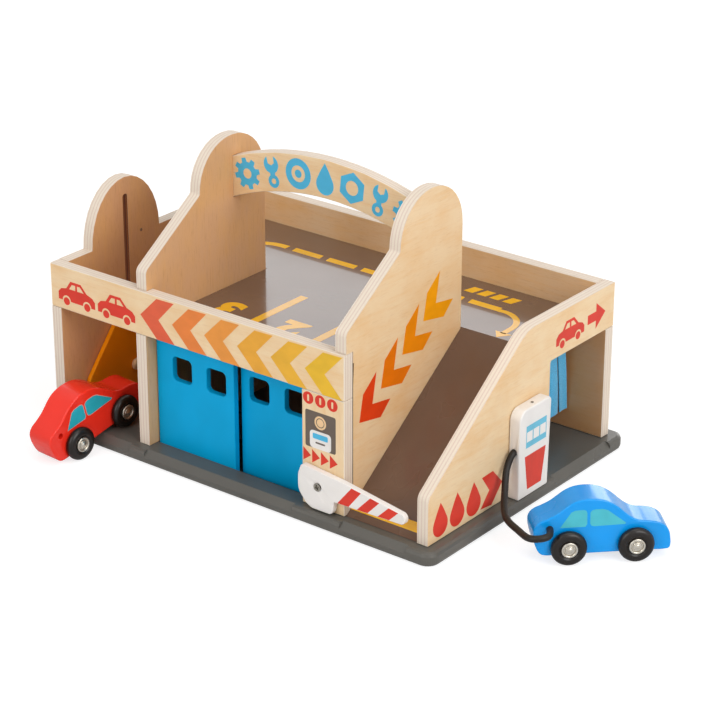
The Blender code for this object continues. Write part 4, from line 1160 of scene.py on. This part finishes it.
class STATION_OT_cars(StationOperator, bpy.types.Operator):
    """Shape the two cars' bodies, wheels and axles, and print their windows"""

    bl_idname = "station.cars"
    bl_label = "Cars"

    # Side view in millimetres, from the rear axle along the car and from the floor up
    OUTLINE = ((-25.5, 24.0), (-25.0, 28.6), (-22.4, 32.2), (-14.8, 35.9), (-9.3, 38.8),
               (-4.9, 42.1), (-0.4, 45.5), (4.6, 48.2), (10.4, 49.6), (16.6, 49.9),
               (24.6, 48.6), (31.4, 45.5), (36.8, 41.5), (41.8, 36.9), (46.8, 33.1),
               (52.4, 30.8), (58.6, 30.0), (65.0, 28.6), (70.0, 25.9), (73.4, 21.6),
               (74.9, 15.4), (75.1, 9.6), (74.2, 7.2), (71.8, 6.5), (60, 6.5), (20, 6.5),
               (-8, 6.5), (-16.6, 6.5), (-20.0, 7.8), (-22.6, 11.6), (-24.5, 17.6))
    # Radii and heights: the wheel from its inner face out, the end cap from the car's middle
    TREAD = ((2.3, 5.0), (6.6, 5.0), (7.1, 5.12), (7.5, 5.5), (7.9, 5.88), (8.4, 6.0),
             (9.9, 6.0), (11.0, 5.8), (12.0, 5.25), (12.8, 4.4), (13.2, 3.4), (13.3, 2.6),
             (13.3, 1.6), (13.05, 0.8), (12.5, 0.25), (11.7, 0.0), (2.3, 0.0))
    CAP = ((0, 20.1), (0.8, 20.05), (1.4, 19.85), (1.9, 19.5), (2.4, 19.3), (2.8, 19.35),
           (3.1, 19.25), (3.3, 18.95), (3.4, 18.45), (4.2, 18.4), (4.4, 18.9), (4.6, 19.25),
           (4.9, 19.45), (5.3, 19.5), (5.75, 19.4), (6.0, 19.1), (6.0, 18.3), (2.0, 18.3))
    REAR = ((-6.3, 28.3), (1.4, 40.3), (4.2, 41.6), (10.0, 41.9), (12.3, 41.2), (13.1, 39.2),
            (13.3, 30.2), (12.0, 28.3))
    FRONT = ((15.3, 39.6), (16.6, 41.2), (19.0, 41.8), (24.4, 41.8), (28.0, 40.7),
             (41.6, 29.9), (40.8, 28.8), (18.4, 28.4), (16.2, 29.1), (15.4, 30.9))
    RADIUS, WHEELBASE, INNER = 13.3 * MM, 49.1 * MM, 13.0 * MM
    # The red car's front wheels stand this much higher, on the base
    STAND = 11.3 * MM
    EDGE, BORE, HOLE, HOLE_DEPTH = 1.3 * MM, 2.1 * MM, 2.4 * MM, 5.0 * MM
    RIM = 0.55

    def execute(self, context):
        tones = colours()
        self.wheel_paint = sprayed_paint("black_wheel_lacquer", tones.wheel, 0.35, "Z", 0.0, 0.12)
        self.steel = plated_steel("nickel_plated_steel", tones.nickel)
        self.rim_ink = screen_ink("red_car_rim_ink", linear("D9A096"), "X", 0.0, 0.3)
        for car, (rear, heading) in CARS.items():
            pitch = math.asin(self.STAND / self.WHEELBASE) if car == "red_car" else 0.0
            axle = (Matrix.Translation((*rear, self.RADIUS))
                    @ Matrix.Rotation(math.radians(heading), 4, "Z")
                    @ Matrix.Rotation(-pitch, 4, "Y"))
            floor = axle @ Matrix.Translation((0, 0, -self.RADIUS))
            self.add_body(car, floor)
            for end, x in (("rear", 0.0), ("front", self.WHEELBASE)):
                self.add_wheelset(f"{car}_{end}", axle @ Matrix.Translation((x, 0, 0)))
            self.add_windows(car, floor)
        return {"FINISHED"}

    def add_body(self, car, place):
        """A body: its outline drawn, filled, extruded, rounded off and drilled."""
        curve = bpy.data.curves.new(car + "_outline", "CURVE")
        curve.dimensions = "2D"
        curve.fill_mode = "NONE"
        curve.resolution_u = 5
        spline = curve.splines.new("BEZIER")
        spline.bezier_points.add(len(self.OUTLINE) - 1)
        for (u, v), knot in zip(self.OUTLINE, spline.bezier_points):
            knot.co = (u * MM, v * MM, 0)
            knot.handle_left_type = knot.handle_right_type = "AUTO"
        spline.use_cyclic_u = True
        select_only(linked(car + "_outline", curve))
        bpy.ops.object.convert(target="MESH")
        item = bpy.context.object
        wide = 2 * CAR_HALF
        bpy.ops.object.mode_set(mode="EDIT")
        bpy.ops.mesh.select_all(action="SELECT")
        bpy.ops.mesh.remove_doubles(threshold=OUTLINE_WELD)
        bpy.ops.mesh.edge_face_add()
        bpy.ops.mesh.extrude_region_move(TRANSFORM_OT_translate={"value": (0, 0, wide)})
        bpy.ops.mesh.select_all(action="SELECT")
        bpy.ops.mesh.normals_make_consistent(inside=False)
        bpy.ops.object.mode_set(mode="OBJECT")
        roll_edges(item, self.EDGE, 4)
        for x in (0.0, self.WHEELBASE):
            drill(item, (x, self.RADIUS), self.BORE, -self.EDGE, wide + self.EDGE)
        drill(item, FILLER, self.HOLE, wide - self.HOLE_DEPTH, wide + self.EDGE)
        item.select_set(True)
        shade_evenly(item)
        item.matrix_world = (place @ Matrix.Translation((0, CAR_HALF, 0))
                             @ Matrix.Rotation(math.radians(90), 4, "X"))
        tone = getattr(colours(), car)
        lacquer = sprayed_paint(car + "_lacquer", tone, 0.24, "X", 0.0, 0.26, 0.2)
        keep(item, car + "_shell", car, lacquer)
        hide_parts(car + "_body")

    def paint_slot(self, car):
        """The record's material slot for a car's lacquer."""
        return "car_" + car.split("_")[0]

    def add_wheelset(self, label, place):
        """Two wheels and the axle with its pressed end caps."""
        turn = Matrix.Rotation(math.radians(-90), 4, "X")
        profile = self.CAP + tuple((r, -z) for r, z in reversed(self.CAP))
        caps = keep(turned(label, profile, place @ turn), label + "_cap_axle",
                    label + "_wheels", self.steel)
        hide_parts(label + "_axle")
        for side, sign in (("left", 1), ("right", -1)):
            node = f"{label}_{side}_wheel"
            spot = (place @ Matrix.Translation((0, sign * self.INNER, 0))
                    @ Matrix.Rotation(math.radians(-90 * sign), 4, "X"))
            wheel = keep(turned(node, self.TREAD, spot, True), node + "_turned",
                         label + "_wheels", self.wheel_paint)
            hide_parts(node)

    def grown(self, loop):
        """An outline pushed outwards from its middle by the rim's width."""
        u, v = (sum(p[k] for p in loop) / len(loop) for k in (0, 1))
        far = [math.hypot(p[0] - u, p[1] - v) for p in loop]
        return [(u + (p[0] - u) * (1 + self.RIM / d), v + (p[1] - v) * (1 + self.RIM / d))
                for p, d in zip(loop, far)]

    def add_windows(self, car, place):
        """The painted windows on both sides, with a pale rim on the red car."""
        tone = linear("2AA8B8") if car == "red_car" else colours().glass
        ink = screen_ink(car + "_window_ink", tone, "X", 0.0, 0.25)
        paint = {"body": car, "slot": self.paint_slot(car)}
        for side, sign in (("right", -1), ("left", 1)):
            plane = place @ wall_plane((0, sign * CAR_HALF, 0), (-sign, 0, 0), UP)
            for label, shape in (("rear", self.REAR), ("front", self.FRONT)):
                loop = [(-sign * u, v) for u, v in shape]
                name = f"{car}_{side}_{label}"
                if car == "red_car":
                    printed(name + "_rim", [self.grown(loop)], plane, self.rim_ink,
                            thick=sizes().ink_thickness / 2, **paint)
                printed(name + "_window", [loop], plane, ink, **paint)


class STATION_PT_panel(bpy.types.Panel):
    """Lists the station's piece groups in the sidebar."""

    bl_idname = "STATION_PT_panel"
    bl_label = "Toy service station"
    bl_space_type = "VIEW_3D"
    bl_region_type = "UI"
    bl_category = "Station"

    def draw(self, context):
        for operator in OPERATORS:
            self.layout.operator(operator.bl_idname, text=operator.bl_label)


OPERATORS = (STATION_OT_stage, STATION_OT_hose, STATION_OT_curtain, STATION_OT_finishes,
             STATION_OT_front_prints, STATION_OT_tower_prints, STATION_OT_sign,
             STATION_OT_pay_panel, STATION_OT_side_prints, STATION_OT_deck_marks,
             STATION_OT_barrier, STATION_OT_pump, STATION_OT_cars)
CLASSES = (StationSizes, StationColours, *OPERATORS, STATION_PT_panel)


def register():
    """Register the properties, the operators and the panel."""
    for item in CLASSES:
        bpy.utils.register_class(item)
    bpy.types.Scene.station_sizes = bpy.props.PointerProperty(type=StationSizes)
    bpy.types.Scene.station_colours = bpy.props.PointerProperty(type=StationColours)


def unregister():
    """Take away what register added."""
    del bpy.types.Scene.station_colours
    del bpy.types.Scene.station_sizes
    for item in reversed(CLASSES):
        bpy.utils.unregister_class(item)


def main():
    """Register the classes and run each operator."""
    register()
    for operator in OPERATORS:
        group, name = operator.bl_idname.split(".")
        getattr(getattr(bpy.ops, group), name)()


if __name__ == "__main__":
    main()
